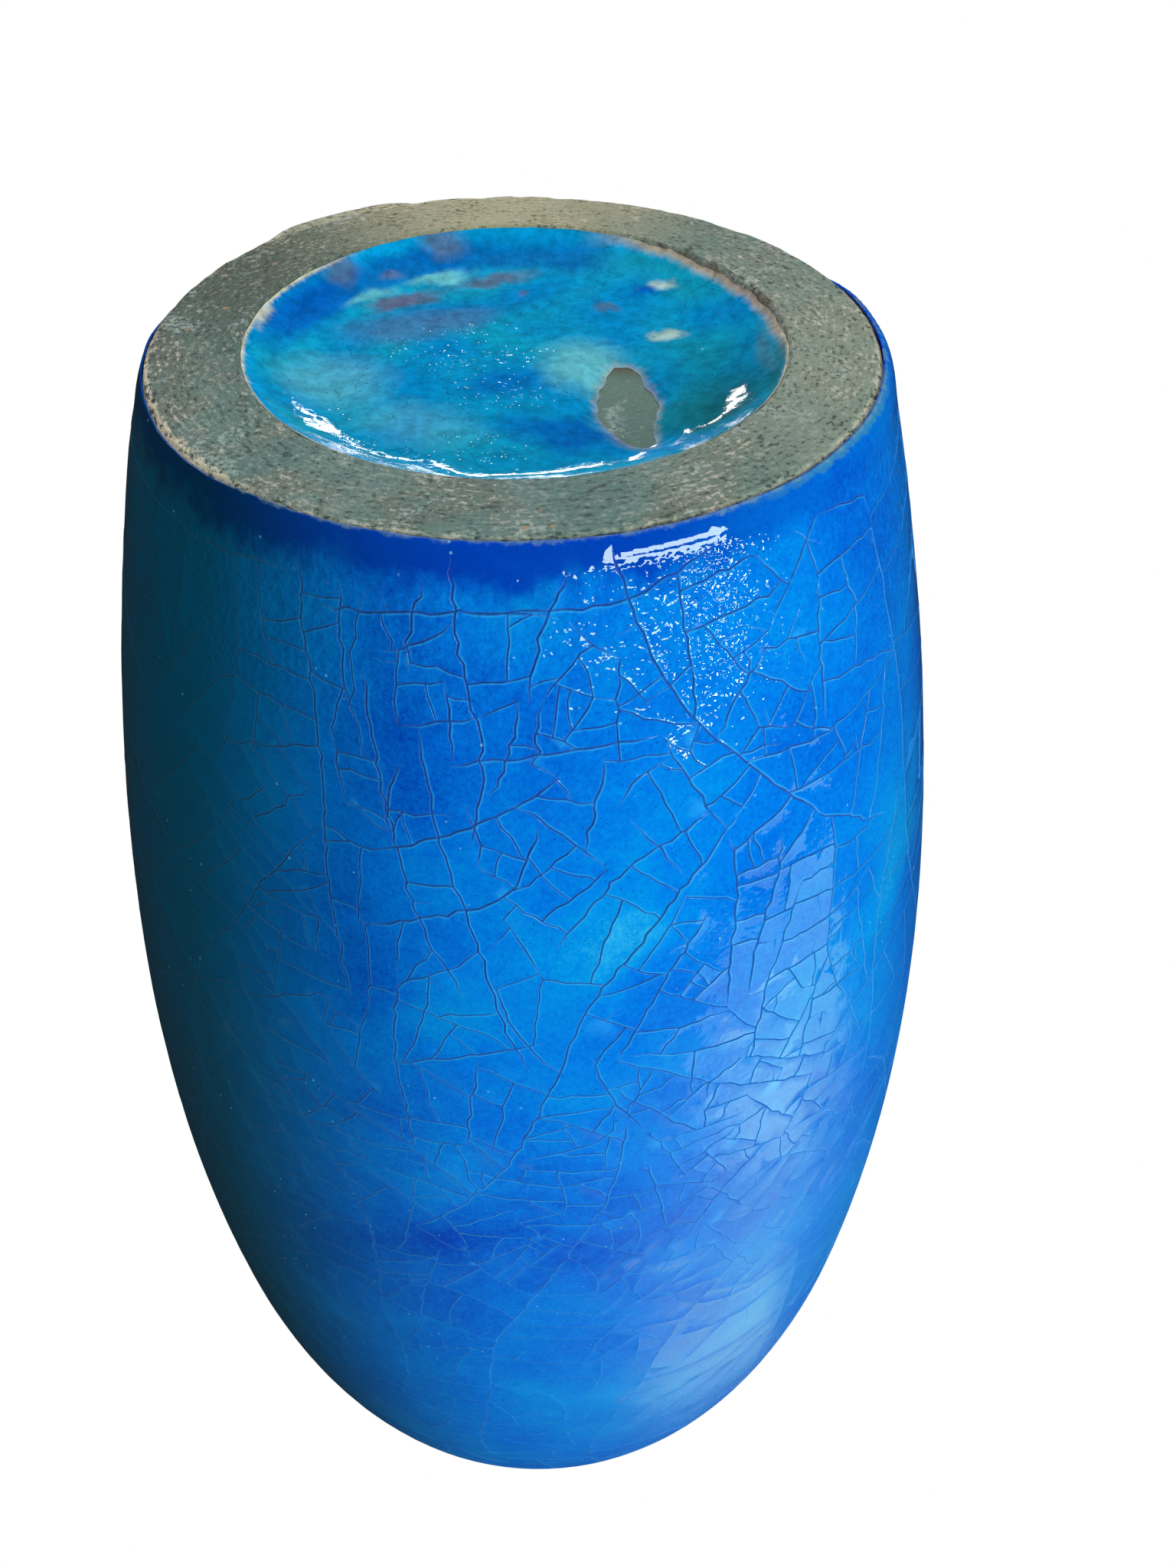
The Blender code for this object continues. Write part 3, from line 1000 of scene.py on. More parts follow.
def raised_runs(turn, run):
    """Lengths along the coat, moved up near its ragged lower edge."""
    return run + coat_edge(on_coat(turn, run)[0]) * np.clip(1 - run / FOOT_ZONE, 0, 1)


def coat_height(place, run, tips):
    """Height of the coat's face above the clay, without its cracks."""
    bead = np.sqrt(1 - (1 - np.clip(run / BEAD, 0.02, 1)) ** 2)
    roll = ROLL_SWELL * np.exp(-((run - ROLL_RUN) / ROLL_SPREAD) ** 2)
    calm = np.clip(run / 0.02, 0.1, 1) * np.clip((COAT_LENGTH - run) / 0.03, 0, 1)
    wave = WAVE * (noise_at(place, 26) + 0.3 * noise_at(place, 80, 7))
    thickness = COAT - 0.0002 * np.clip(1 - (COAT_LENGTH - run) / 0.02, 0, 1)
    thickness -= SLIM * around(place, -70, 80, 60) * np.exp(-(run / SLIM_RUN) ** 2)
    return SEAT_GAP + (thickness + roll) * bead + (wave + tips) * calm


def coat_back(turn, run):
    """The side that lies on the clay, with few triangles and the same border as the face."""
    low, high = (np.sort(turn[np.isclose(run, level, atol=1e-7)]).tolist() for level in (0, COAT_LENGTH))
    sheet = Sheet()
    rows = spaced(0, COAT_LENGTH, BACK_STEP)
    sheet.add_line(coat_border(low, high, rows), closed=True)
    for row in rows[1:-1]:
        turns = [TURN * (i + 0.5) / BACK_COLUMNS for i in range(BACK_COLUMNS)]
        sheet.points += [Vector((back_turn * MEAN_RADIUS, row)) for back_turn in turns]
    turn, run, triangles = sheet.triangles()
    place, out, along = on_coat(turn, raised_runs(turn, run))
    return turn, run, triangles, out_of_round(place) + out * SEAT_GAP / 2


def lay_coat():
    turn, run, triangles = coat_sheet().triangles()
    relief, groove, lip = crack_relief(on_coat(turn, run)[0])
    numbers = cell_numbers(len(turn), triangles, groove > 0.5)
    place, out, along = on_coat(turn, raised_runs(turn, run))
    # Painted shade on the left side of the coat: this mask tints it dark teal in the finish and keeps its
    # cells from tipping.
    coat_painted_shade = around(place, -66, 75, 44)
    tips = cell_tips(place, numbers) * (1 - 0.8 * coat_painted_shade)
    height = coat_height(place, run, tips) + relief
    back_turn, back_run, back_triangles, back = coat_back(turn, run)
    walls = border_walls(turn, run, back_turn, back_run)
    face = out_of_round(place) + out * height[:, None]
    piece = shell("glaze_coat", face, triangles, back, back_triangles, walls)
    masks = {
        "crack": groove,
        "lip": lip,
        "cloud": coat_clouds(place) + cell_tones(numbers),
        "coat_painted_shade": coat_painted_shade,
        "thin": around(place, -165, -130, 20),
        "thick": 1 - 0.75 * around(place, -200, -124, 40),
    }
    for name, values in masks.items():
        paint(piece.data, name, np.concatenate([values, np.zeros(len(back))]))
    print("coat: %d cells" % (len(np.unique(numbers)) - 1))
    return piece


coat = lay_coat()
finish_mesh(coat, 17)

# %% [markdown]
# ## Blue crackle finish
# The blue is never even: thick glaze is deep cobalt, thin glaze is cerulean, and clouds of turquoise float
# in it. The clouds are a mask on the mesh, small noise mottles them, and small spots give the specks. One
# spot of the cloud mask, on the right side, is a painted reflection. Grooves are darker; lips are painted
# paler, a painted highlight where they catch the light. The left side is painted dark teal as painted shade.
# Where the glaze rolled together above the foot it is darkest, and its very edge is worn to a pale line. A
# fine bump like orange peel breaks the shine into specks near the foot, and further up the shine is softer.

# %% Make the blue crackle finish
BLUES = ((0.20, (0.0, 0.052, 0.52)), (0.50, (0.0, 0.160, 0.73)), (0.75, (0.0, 0.262, 0.76)),
         (1.0, (0.03, 0.41, 0.78)))
SPECK_BLUE = (0.0, 0.03, 0.26)
LIP_HIGHLIGHT_BLUE = (0.03, 0.40, 0.92)
GROOVE_BLUE = (0.0, 0.025, 0.22)
PAINTED_SHADE_TEAL = (0.0, 0.074, 0.135)
ROLL_BLUE = (0.0, 0.040, 0.46)
ROLL_PAINTED_SHADE = (0.0, 0.024, 0.085)
PALE_SPECK = (0.25, 0.62, 0.80)
THIN_GLAZE = (0.05, 0.25, 0.36)
WORN_LINE = (0.20, 0.36, 0.33)


def blue_ramp(tree, tone):
    """Blue for a tone, from deep to pale."""
    ramp = add_node(tree, "ShaderNodeValToRGB", [(0, tone)])
    for i, (place, colour) in enumerate(BLUES):
        stop = ramp.color_ramp.elements[i] if i < 2 else ramp.color_ramp.elements.new(place)
        stop.position = place
        stop.color = (*colour, 1)
    return ramp.outputs["Color"]


def blue_colour(tree, coat_painted_shade, height):
    tone = layer(tree, "cloud")
    for scale, reach in ((420, 0.20), (1500, 0.36), (3600, 0.36)):
        tone = plus(tree, tone, sway(tree, reach, scale, 2, 0.6))
    blue = blue_ramp(tree, tone)
    blue = tinted(tree, blue, SPECK_BLUE, strewn_dots(tree, 1300, 0.10, 0.24, 260, 0.45, 0.55), 0.5)
    # Painted highlight: lips are tinted paler where they catch the light, fading out on the side painted in
    # shade.
    lip_highlight_share = maths(tree, "MULTIPLY_ADD", coat_painted_shade, -0.8, 1.0)
    blue = tinted(tree, blue, LIP_HIGHLIGHT_BLUE, times(tree, layer(tree, "lip"), times(tree, lip_highlight_share, 0.6)))
    blue = tinted(tree, blue, GROOVE_BLUE, layer(tree, "crack"), 0.85)
    # Painted shade: the left side is tinted dark teal, and the roll there is tinted darker still.
    blue = tinted(tree, blue, PAINTED_SHADE_TEAL, coat_painted_shade, 0.95)
    runny = plus(tree, height, sway(tree, 0.006, 120, 3))
    runny = plus(tree, runny, sway(tree, 0.005, 420, 2))
    thick = times(tree, between(tree, runny, 0.0020, 0.0072, 0.92, 0.0), layer(tree, "thick"))
    blue = tinted(tree, blue, mixed(tree, coat_painted_shade, ROLL_BLUE, ROLL_PAINTED_SHADE), thick)
    blue = tinted(tree, blue, PALE_SPECK, strewn_dots(tree, 420, 0.04, 0.09, 90, 0.50, 0.6), 0.6)
    edge = plus(tree, height, sway(tree, 0.0014, 500, 4, 0.7))
    thin = times(tree, between(tree, edge, 0.0005, 0.0008, 0.6, 0.0), layer(tree, "thin"))
    blue = tinted(tree, blue, THIN_GLAZE, thin)
    return tinted(tree, blue, WORN_LINE, between(tree, edge, 0.0, 0.0004, 0.5, 0.0))


def sea_blue_finish():
    material, tree, shader = new_finish("sea_blue_crackle")
    height = place_parts(tree)["Z"]
    tree.links.new(blue_colour(tree, layer(tree, "coat_painted_shade"), height), shader.inputs["Base Color"])
    satin = between(tree, grain(tree, 60, 3), 0.35, 0.65, 0.03, 0.055)
    satin = plus(tree, satin, between(tree, height, 0.03, 0.12, 0.0, 0.22))
    satin = plus(tree, satin, between(tree, layer(tree, "crack"), 0.0, 0.3, 0.0, 0.85))
    tree.links.new(satin, shader.inputs["Roughness"])
    peel = plus(tree, grain(tree, 1200, 1, 0.5), times(tree, grain(tree, 500, 2), 0.6))
    peel = times(tree, peel, between(tree, height, 0.0020, 0.0034, 0.04, 1.0))
    peel = times(tree, peel, between(tree, height, 0.012, 0.032, 1.0, 0.15))
    tree.links.new(bumped(tree, peel, 0.9, 0.00022), shader.inputs["Normal"])
    return material


coat.data.materials.append(sea_blue_finish())
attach(coat, "root")
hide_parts("outer_glaze")

# %% [markdown]
# ## Turning a profile
# The clay and the lining are turned shapes. By hand one would draw the outline point by point, then spin it
# round the axis, and so does this helper: a plane is shrunk to one point, the point is extruded along the
# outline, and Spin makes the surface.

# %% A helper that turns an outline


def turn_outline(name, outline, steps):
    bpy.ops.object.select_all(action="DESELECT")
    bpy.ops.mesh.primitive_plane_add(size=0.001)
    piece = bpy.context.object
    piece.name = name
    piece.data.name = name
    bpy.ops.object.mode_set(mode="EDIT")
    bpy.ops.mesh.select_all(action="SELECT")
    bpy.ops.mesh.merge(type="CENTER")
    start = Vector((outline[0][0], 0, outline[0][1]))
    bpy.ops.transform.translate(value=start)
    for (radius, height), (next_radius, next_height) in zip(outline, outline[1:]):
        step = (next_radius - radius, 0, next_height - height)
        bpy.ops.mesh.extrude_region_move(TRANSFORM_OT_translate={"value": step})
    bpy.ops.mesh.select_all(action="SELECT")
    bpy.ops.mesh.spin(steps=steps, angle=TURN, center=(0, 0, 0), axis=(0, 0, 1))
    bpy.ops.mesh.select_all(action="SELECT")
    bpy.ops.mesh.remove_doubles(threshold=1e-6)
    bpy.ops.mesh.normals_make_consistent(inside=False)
    bpy.ops.object.mode_set(mode="OBJECT")
    print("%s: %d faces turned" % (name, len(piece.data.polygons)))
    return piece


# %% [markdown]
# ## The clay pot
# Only the foot ring and the bare spots in the recess show. The ring was ground flat and has been set down
# many times: it is scratched round and round, its edges are worn, with chips where the clay broke away. The
# wear is in the mesh, because it shows against the light, and the grain is in the finish. Masks on the mesh
# say where the ring gets painted sheen, at the back and on the right, and painted shade, on the left, and
# where it is worn; the worn rim carries painted glints, and the bare recess wall is painted dark brown,
# partly as painted shade.

# %% Turn the clay pot
RING_ROWS = 26


def clay_outline():
    inside = inside_outline(8)[:-1]
    lip = lip_outline(8)[::-1]
    outside = wall_outline(FOOT_EDGE, 8)[::-1]
    ring_out, ring_in = FOOT_RADIUS - FOOT_EDGE, RECESS_RADIUS + FOOT_EDGE
    ring = [(ring_out + (ring_in - ring_out) * i / RING_ROWS, 0) for i in range(RING_ROWS + 1)]
    return inside + lip + outside + ring + recess_outline(14)[::-1]


def wear_foot(piece):
    """Uneven ground face, worn edges and chips, all of it above the table."""
    for vertex in piece.data.vertices:
        place = vertex.co
        radius = math.hypot(place.x, place.y)
        if place.z > 0.004 or radius < RECESS_RADIUS - 0.003:
            continue
        flat = Vector((place.x, place.y, 0))
        outer = max(0, 1 - abs(radius - FOOT_RADIUS) / 0.0022)
        inner = max(0, 1 - abs(radius - RECESS_RADIUS) / 0.0014)
        bare = around(np.array([flat]), 124, 180, 16)[0]
        grit = 0.5 + 0.5 * noise.noise(flat * 1100)
        dents = max(0, noise.noise(flat * 260 + Vector((5, 1, 4))) - 0.25)
        chips = max(0, noise.noise(flat * 95 + Vector((3, 8, 2))) + 0.05)
        small_chips = max(0, noise.noise(flat * 340 + Vector((9, 2, 6))))
        lift = 0.00007 * grit + 0.00035 * dents
        lift += outer ** 1.5 * min(0.0004 * chips + 0.0003 * small_chips, 0.00025)
        lift += inner ** 1.5 * (0.0002 * small_chips + 0.0003 * bare)
        place.z += lift


pot = turn_outline("clay_pot", clay_outline(), 400)
turned = np.array([vertex.co for vertex in pot.data.vertices])
pot.data.vertices.foreach_set("co", out_of_round(turned).ravel())
wear_foot(pot)
finish_mesh(pot, 40)
clay_points = np.array([vertex.co for vertex in pot.data.vertices])
clay_radius = np.hypot(*clay_points.T[:2])
bare_sector = around(clay_points, 124, 180, 14)
# The bare stretch of the recess wall is painted dark brown: partly the clay's own colour, partly painted
# shade.
wall_shade_edge = RECESS_RADIUS + 0.0005 + 0.0008 * noise_at(clay_points, 300)
paint(pot.data, "wall_brown_and_shade", bare_sector * np.clip((wall_shade_edge - clay_radius) / 0.0006, 0, 1))
paint(pot.data, "recess", np.clip((RECESS_RADIUS - 0.001 - clay_radius) / 0.001, 0, 1))
# Painted shade on the left of the ring.
paint(pot.data, "ring_painted_shade", around(clay_points, -6, 50, 60))
# Painted sheen on the back of the ring: warm beige where it mirrors the light behind.
paint(pot.data, "painted_sheen", around(clay_points, 50, 115, 60))
# Painted sheen on the right of the ring: pale where it mirrors the light.
paint(pot.data, "painted_side_sheen", around(clay_points, 150, 225, 60))
# The rim is worn on the left and on the right front; there its cream also carries painted glints.
worn = np.maximum(around(clay_points, -52, 0, 26), 0.6 * around(clay_points, -185, -145, 20))
paint(pot.data, "worn", np.maximum(worn, 0.25))
paint(pot.data, "inner_line", around(clay_points, -185, 35, 20) * (clay_points[:, 2] < 0.0016))

# %% Make the ground clay finish
DARK_GREY = (0.104, 0.186, 0.178)
LIGHT_GREY = (0.140, 0.210, 0.194)
BROWN = (0.165, 0.162, 0.128)
# Painted sheen at the back and on the right of the ring, painted shade on its left, and the darker clay in
# the recess.
CLAY_SIDES = (("painted_sheen", 0.75, (0.41, 0.36, 0.21)), ("painted_side_sheen", 0.6, (0.29, 0.33, 0.26)),
              ("ring_painted_shade", 0.7, (0.085, 0.092, 0.072)), ("recess", 0.7, (0.082, 0.170, 0.146)))
FLECK = (0.50, 0.48, 0.41)
PIT = (0.055, 0.064, 0.054)
SMEAR = (0.38, 0.46, 0.44)
RUST_SPOT = (0.42, 0.26, 0.15)
WALL_BROWN_AND_SHADE = (0.105, 0.088, 0.062)
WORN_RIM_AND_GLINT = (0.74, 0.68, 0.52)
INNER_LINE = (0.66, 0.62, 0.48)


def ring_coords(tree, round_scale, out_scale):
    """Coordinates that run round the ring and across it, and the radius."""
    x, y, z = place_parts(tree)
    angle = maths(tree, "ARCTAN2", y, x)
    radius = maths(tree, "SQRT", plus(tree, times(tree, x, x), times(tree, y, y)))
    scaled = (times(tree, angle, round_scale), times(tree, radius, out_scale), times(tree, z, out_scale))
    return add_node(tree, "ShaderNodeCombineXYZ", list(enumerate(scaled))).outputs[0], radius


def clay_colour(tree, radius, rough, grit):
    grey = mixed(tree, between(tree, grain(tree, 70, 4, 0.6), 0.40, 0.60), DARK_GREY, LIGHT_GREY)
    brown = between(tree, grain(tree, 60, 5, 0.65, 0.5), 0.46, 0.60)
    grey = tinted(tree, grey, BROWN, brown, 0.5)
    for mask, strength, colour in CLAY_SIDES:
        grey = tinted(tree, grey, colour, layer(tree, mask), strength)
    smooth = maths(tree, "MULTIPLY_ADD", layer(tree, "recess"), -0.8, 1.0)
    flecks = times(tree, between(tree, rough, 0.84, 0.94), maths(tree, "MULTIPLY_ADD", brown, 0.55, 0.30))
    grey = tinted(tree, grey, FLECK, times(tree, flecks, smooth))
    grey = tinted(tree, grey, PIT, times(tree, between(tree, rough, 0.64, 0.76, 0.85, 0.0), smooth))
    smears = between(tree, grain(tree, 130, 5, 0.75, 0.8), 0.57, 0.62)
    grey = tinted(tree, grey, SMEAR, times(tree, smears, between(tree, grit, 0.40, 0.60)), 0.6)
    grey = tinted(tree, grey, RUST_SPOT, strewn_dots(tree, 420, 0.08, 0.22, 140, 0.56, 0.64), 0.7)
    # Dark brown on the bare stretch of the recess wall, partly painted shade.
    grey = tinted(tree, grey, WALL_BROWN_AND_SHADE, layer(tree, "wall_brown_and_shade"), 0.8)
    ragged = sway(tree, 0.0018, 420, 5, 0.75)
    # Cream on the worn outer rim, broken by the grit into painted glints where the edge catches the light.
    outer = between(tree, plus(tree, radius, ragged), FOOT_RADIUS - 0.0007, FOOT_RADIUS - 0.0002)
    outer = times(tree, outer, between(tree, rough, 0.68, 0.84))
    grey = tinted(tree, grey, WORN_RIM_AND_GLINT, times(tree, outer, layer(tree, "worn")))
    inner = between(tree, plus(tree, radius, times(tree, ragged, 0.35)),
                    RECESS_RADIUS - 0.0001, RECESS_RADIUS + 0.0002, 1.0, 0.0)
    return tinted(tree, grey, INNER_LINE, times(tree, inner, layer(tree, "inner_line")))


def fired_clay_finish():
    material, tree, shader = new_finish("ground_stoneware")
    coords, radius = ring_coords(tree, 26.0, 1900.0)
    strokes = times(tree, grain(tree, 1.0, 2, 0.6, 0.4, coords), 0.6)
    grit = grain(tree, 1500, 3, 0.7)
    rough = plus(tree, strokes, times(tree, grit, 0.7))
    rough = plus(tree, rough, times(tree, grain(tree, 160, 3, 0.6), 0.3))
    tree.links.new(clay_colour(tree, radius, rough, grit), shader.inputs["Base Color"])
    shader.inputs["Roughness"].default_value = 0.40
    tree.links.new(bumped(tree, rough, 0.8, 0.0004), shader.inputs["Normal"])
    return material


pot.data.materials.append(fired_clay_finish())
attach(pot, "root")
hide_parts("clay_body")

# %% [markdown]
# ## The lining
# Inside, the glaze is one smooth coat, turned from its own outline a seat's gap off the clay.

# %% Turn the lining
LINING = 0.001
LINING_DEEP = (0.003, 0.10, 0.34)
LINING_PALE = (0.01, 0.24, 0.46)


def lining_outline():
    clay = inside_outline(24)
    inward = -normals_of(clay)
    inward[0] = (0, 1)
    face = np.array(clay) + inward * (SEAT_GAP + LINING)
    seat = np.array(clay) + inward * SEAT_GAP
    face[0, 0] = seat[0, 0] = 0
    return [tuple(p) for p in face[:-1]] + [tuple(p) for p in seat[:-1][::-1]]


lining = turn_outline("glaze_lining", lining_outline(), 128)
finish_mesh(lining, 40)


def lining_finish():
    material, tree, shader = new_finish("lining_blue")
    tone = between(tree, grain(tree, 30, 4, 0.6), 0.35, 0.65)
    blue = mixed(tree, tone, LINING_DEEP, LINING_PALE)
    tree.links.new(blue, shader.inputs["Base Color"])
    tree.links.new(between(tree, grain(tree, 60), 0.3, 0.7, 0.18, 0.32), shader.inputs["Roughness"])
    tree.links.new(bumped(tree, grain(tree, 500), 0.15, 0.0004), shader.inputs["Normal"])
    return material


lining.data.materials.append(lining_finish())
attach(lining, "root")
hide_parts("inner_glaze")

# %% [markdown]
# ## The pool in the recess
# Under the base the glaze ran together into a glossy pool. It climbs the recess wall with a ragged edge,
# left a stretch of the wall and one patch of the floor bare, and froze with bubbles, blisters and two lumps
# in it. The pool is laid flat from the middle outward, cut by its edges, and wrapped on the underside like
# the coat.

# %% Edges of the pool
THIN_EDGE = 0.00005
POOL_LEVEL = 0.0042
BOWL_START = 0.0235
BOWL_CURVE = 75
RIM_SLOPE = 0.0012
PATCH_SLOPE = 0.0036
RIM_POINTS = 400
PATCH_POINTS = 100
PATCH = ((-12, 1.8), (-14.2, 2), (-15.2, -0.6), (-16, -3.2), (-17, -5.8), (-17.6, -8.6), (-16.9, -11.2),
         (-16.6, -14.2), (-17, -16.6), (-15.8, -18), (-13.6, -17.8), (-12.2, -16.2), (-11.2, -13.6),
         (-10.2, -10.6), (-9.8, -7.6), (-10.4, -5), (-11.4, -2), (-11.6, 0.4))
pool_path = np.array(recess_outline(20) + [(RECESS_RADIUS + 0.00025, FOOT_EDGE / 2)])
pool_normals = normals_of(pool_path)
pool_normals[0] = (0, -1)
pool_runs = run_lengths(pool_path)


def bowl_thickness():
    """Thickness along the underside: flat in the middle, then creeping up the wall in a hollow curve."""
    low, high = np.zeros(len(pool_path)), np.full(len(pool_path), 0.0035)
    for i in range(40):
        middle = (low + high) / 2
        radius, height = (pool_path + pool_normals * middle[:, None]).T
        inside = height > POOL_LEVEL - BOWL_CURVE / 2 * np.clip(radius - BOWL_START, 0, None) ** 2
        low, high = np.where(inside, middle, low), np.where(inside, high, middle)
    return np.clip(low - SEAT_GAP - THIN_EDGE, 0, None)


pool_thickness = bowl_thickness()


def as_places(flat):
    """Flat points as places in space."""
    return np.c_[flat, np.zeros(len(flat))]


def pool_edge(angle):
    """Length from the middle of the recess to the pool's edge at an angle."""
    flat = Vector((math.cos(angle), math.sin(angle), 0))
    direction = np.array([flat])
    bare = around(direction, 124, 178, 14)[0]
    ragged = noise.noise(flat * 7) + 0.6 * noise.noise(flat * 24)
    return pool_runs[-1] - (0.0002 + 0.0005 * bare + (0.0001 + 0.0004 * bare) * ragged)


def patch_edge(wider=0.0):
    """Outline of the bare patch, or of one a length wider."""
    marks = np.array(PATCH + PATCH[:1]) / 1000
    turns = np.linspace(0, len(PATCH), PATCH_POINTS, endpoint=False)
    loop = np.stack([np.interp(turns, np.arange(len(marks)), marks[:, i]) for i in (0, 1)], axis=1)
    for i in range(4):
        loop = (np.roll(loop, 1, axis=0) + 2 * loop + np.roll(loop, -1, axis=0)) / 4
    along = np.roll(loop, -1, axis=0) - np.roll(loop, 1, axis=0)
    along /= np.linalg.norm(along, axis=1)[:, None]
    ragged = 0.0006 * noise_at(as_places(loop), 420, 2)
    return loop + (wider + ragged)[:, None] * np.stack([-along[:, 1], along[:, 0]], axis=1)


def rim_edge(inside=0.0):
    """Outline of the pool, or of one a length smaller."""
    turns = np.linspace(0, TURN, RIM_POINTS, endpoint=False)
    reach = np.array([pool_edge(turn) for turn in turns]) - inside
    return np.stack([reach * np.cos(turns), reach * np.sin(turns)], axis=1)


def inside_loop(spots, loop):
    """Whether each spot lies inside a closed loop."""
    odd = np.zeros(len(spots), dtype=bool)
    for a, b in zip(loop, np.roll(loop, -1, axis=0)):
        if a[1] != b[1]:
            spans = (a[1] > spots[:, 1]) != (b[1] > spots[:, 1])
            odd ^= spans & (spots[:, 0] < (b[0] - a[0]) * (spots[:, 1] - a[1]) / (b[1] - a[1]) + a[0])
    return odd


# %% Lumps, blisters and bubbles
GRID = 0.00055
LUMPS = ((0.0126, 0.0316, 0.0032, 0.0008), (0.0266, 0.0214, 0.0032, 0.0008))
BLISTERS = ((-16.4, 20.6, 1.2, 0.4), (-11.1, 16.1, 1.2, 0.4), (-24, 4, 0.8, 0.2), (24.4, 24.3, 0.6, 0.12),
            (26.9, 19.5, 0.6, 0.12), (29.3, 14.2, 0.6, 0.12), (15.3, 18.8, 0.7, 0.14),
            (13.2, 13.9, 0.7, 0.14), (7.9, 13, 0.7, 0.14), (6.8, 10.3, 0.7, 0.14), (17.6, 13.5, 0.6, 0.12),
            (10.5, 12.6, 0.6, 0.12))
BUBBLE_FIELDS = ((10, 20.8, 4, 16), (18, 5.5, 4, 18), (5.5, 1, 4.5, 40), (2, -8, 4, 16), (3.5, -21, 4, 14),
                 (13, -22.5, 4, 12), (22.6, -13.3, 3, 8), (14, 11, 6, 20))


def pool_bubbles():
    """Blisters as listed and small bubbles strewn in the fields where the glaze boiled, in metres."""
    picker = random.Random(3)
    bubbles = list(BLISTERS)
    for x, y, spread, count in BUBBLE_FIELDS:
        for i in range(count):
            bubbles.append((x + picker.gauss(0, spread), y + picker.gauss(0, spread / 2),
                            picker.uniform(0.28, 0.46), picker.uniform(0.05, 0.09)))
    return [tuple(value / 1000 for value in bubble) for bubble in bubbles]


def pool_spots(bubbles):
    """Points for the triangulation: a fine grid, and rings that follow the edges and the bubbles."""
    picker = np.random.default_rng(8)
    span = int(0.037 / GRID)
    i, j = np.meshgrid(np.arange(-span, span), np.arange(-span, span))
    grid = np.stack([(i + 0.5 * (j % 2)) * GRID, j * GRID * 0.87], axis=-1).reshape(-1, 2)
    groups = [grid + picker.uniform(-0.15, 0.15, grid.shape) * GRID]
    for x, y, radius, height in bubbles:
        for share, count in ((0.0, 1), (0.45, 6), (0.8, 9), (1.1, 10)):
            turns = np.linspace(0, TURN, count, endpoint=False)
            ring = [x + share * radius * np.cos(turns), y + share * radius * np.sin(turns)]
            groups.append(np.stack(ring, axis=1))
    groups += [patch_edge(wider) for wider in (0.00015, 0.00035, 0.0006)]
    groups += [rim_edge(inside) for inside in (0.00012, 0.0003, 0.00055)]
    spots = np.concatenate(groups)
    return spots[inside_loop(spots, rim_edge(0.00008)) & ~inside_loop(spots, patch_edge(0.0001))]


# %% Lay the pool


def bubble_heights(flat, bubbles):
    """Height that bubbles add: a round cap, with a small pit on the larger ones."""
    height = np.zeros(len(flat))
    for x, y, radius, rise in bubbles:
        gap = np.hypot(flat[:, 0] - x, flat[:, 1] - y) / radius
        pit = 0.9 * np.clip(1 - gap / 0.5, 0, 1) if radius > 0.001 else 0
        height += rise * (np.clip(1 - gap ** 2, 0, 1) - pit)
    return height


def pool_sheet(bubbles):
    """Points and triangles of the pool laid flat, cut by its rim and by the bare patch."""
    loops = (rim_edge(), patch_edge())
    points, lines = [], []
    for loop in loops:
        first = len(points)
        points += [Vector(spot) for spot in loop]
        lines += [(first + i, first + (i + 1) % len(loop)) for i in range(len(loop))]
    points += [Vector(spot) for spot in pool_spots(bubbles)]
    found = delaunay_2d_cdt(points, lines, [], 0, 1e-7)
    flat, faces = np.array(found[0]), np.array(found[2])
    middles = flat[faces].mean(axis=1)
    return flat, faces[inside_loop(middles, loops[0]) & ~inside_loop(middles, loops[1])]


def gaps_to_edges(flat):
    """How far each point is from the pool's rim and from the bare patch."""
    tree = search_tree(as_places(patch_edge()))
    patch_gap = np.array([tree.find((*spot, 0))[2] for spot in flat.tolist()])
    angle = np.arctan2(flat[:, 1], flat[:, 0])
    reach = np.array([pool_edge(turn) for turn in angle.tolist()])
    return reach - np.hypot(flat[:, 0], flat[:, 1]), patch_gap


def pool_depth(flat, bubbles, rim_gap, patch_gap):
    """Thickness of the pool, with its waves, bubbles and lumps, thinning towards its edges."""
    run = np.hypot(flat[:, 0], flat[:, 1])
    share = np.clip(rim_gap / RIM_SLOPE, 0, 1)
    off_patch = np.clip(patch_gap / PATCH_SLOPE, 0, 1)
    share = share * (2 - share) * off_patch ** 2 * (3 - 2 * off_patch)
    level = as_places(flat)
    by_wall = np.clip((run - 0.021) / 0.006, 0, 1)
    wave = (0.0002 + 0.0001 * by_wall) * noise_at(level, 130, 8)
    wave = wave + 0.00006 * noise_at(level, 190) + 0.00002 * noise_at(level, 700, 3)
    lumps = np.zeros(len(flat))
    for x, y, size, rise in LUMPS:
        gap = np.hypot(flat[:, 0] - x, flat[:, 1] - y) / size
        lumps += rise * np.exp(-gap ** 4) * (0.7 + 0.5 * noise_at(level, 900, x * 1000))
    deep = np.clip(np.interp(run, pool_runs, pool_thickness) + wave, 0, None)
    return THIN_EDGE + (deep + bubble_heights(flat, bubbles) + lumps) * share


def lay_pool():
    bubbles = pool_bubbles()
    flat, faces = pool_sheet(bubbles)
    rim_gap, patch_gap = gaps_to_edges(flat)
    run, angle = np.hypot(flat[:, 0], flat[:, 1]), np.arctan2(flat[:, 1], flat[:, 0])
    place, out, along = wrapped(angle, run, pool_runs, pool_path, pool_normals)
    seat = SEAT_GAP * np.clip(np.minimum(rim_gap, patch_gap) / 0.0015, 0.15, 1)
    height = seat + pool_depth(flat, bubbles, rim_gap, patch_gap)
    border = {}
    for a, b, c in faces.tolist():
        for edge in ((a, b), (b, c), (c, a)):
            border[edge] = True
    walls = [[b, a, a + len(flat), b + len(flat)] for a, b in border if (b, a) not in border]
    face, back = place + out * height[:, None], place + out * 0.4 * seat[:, None]
    return shell("glaze_pool", face, faces, back, faces, walls), flat, rim_gap, patch_gap
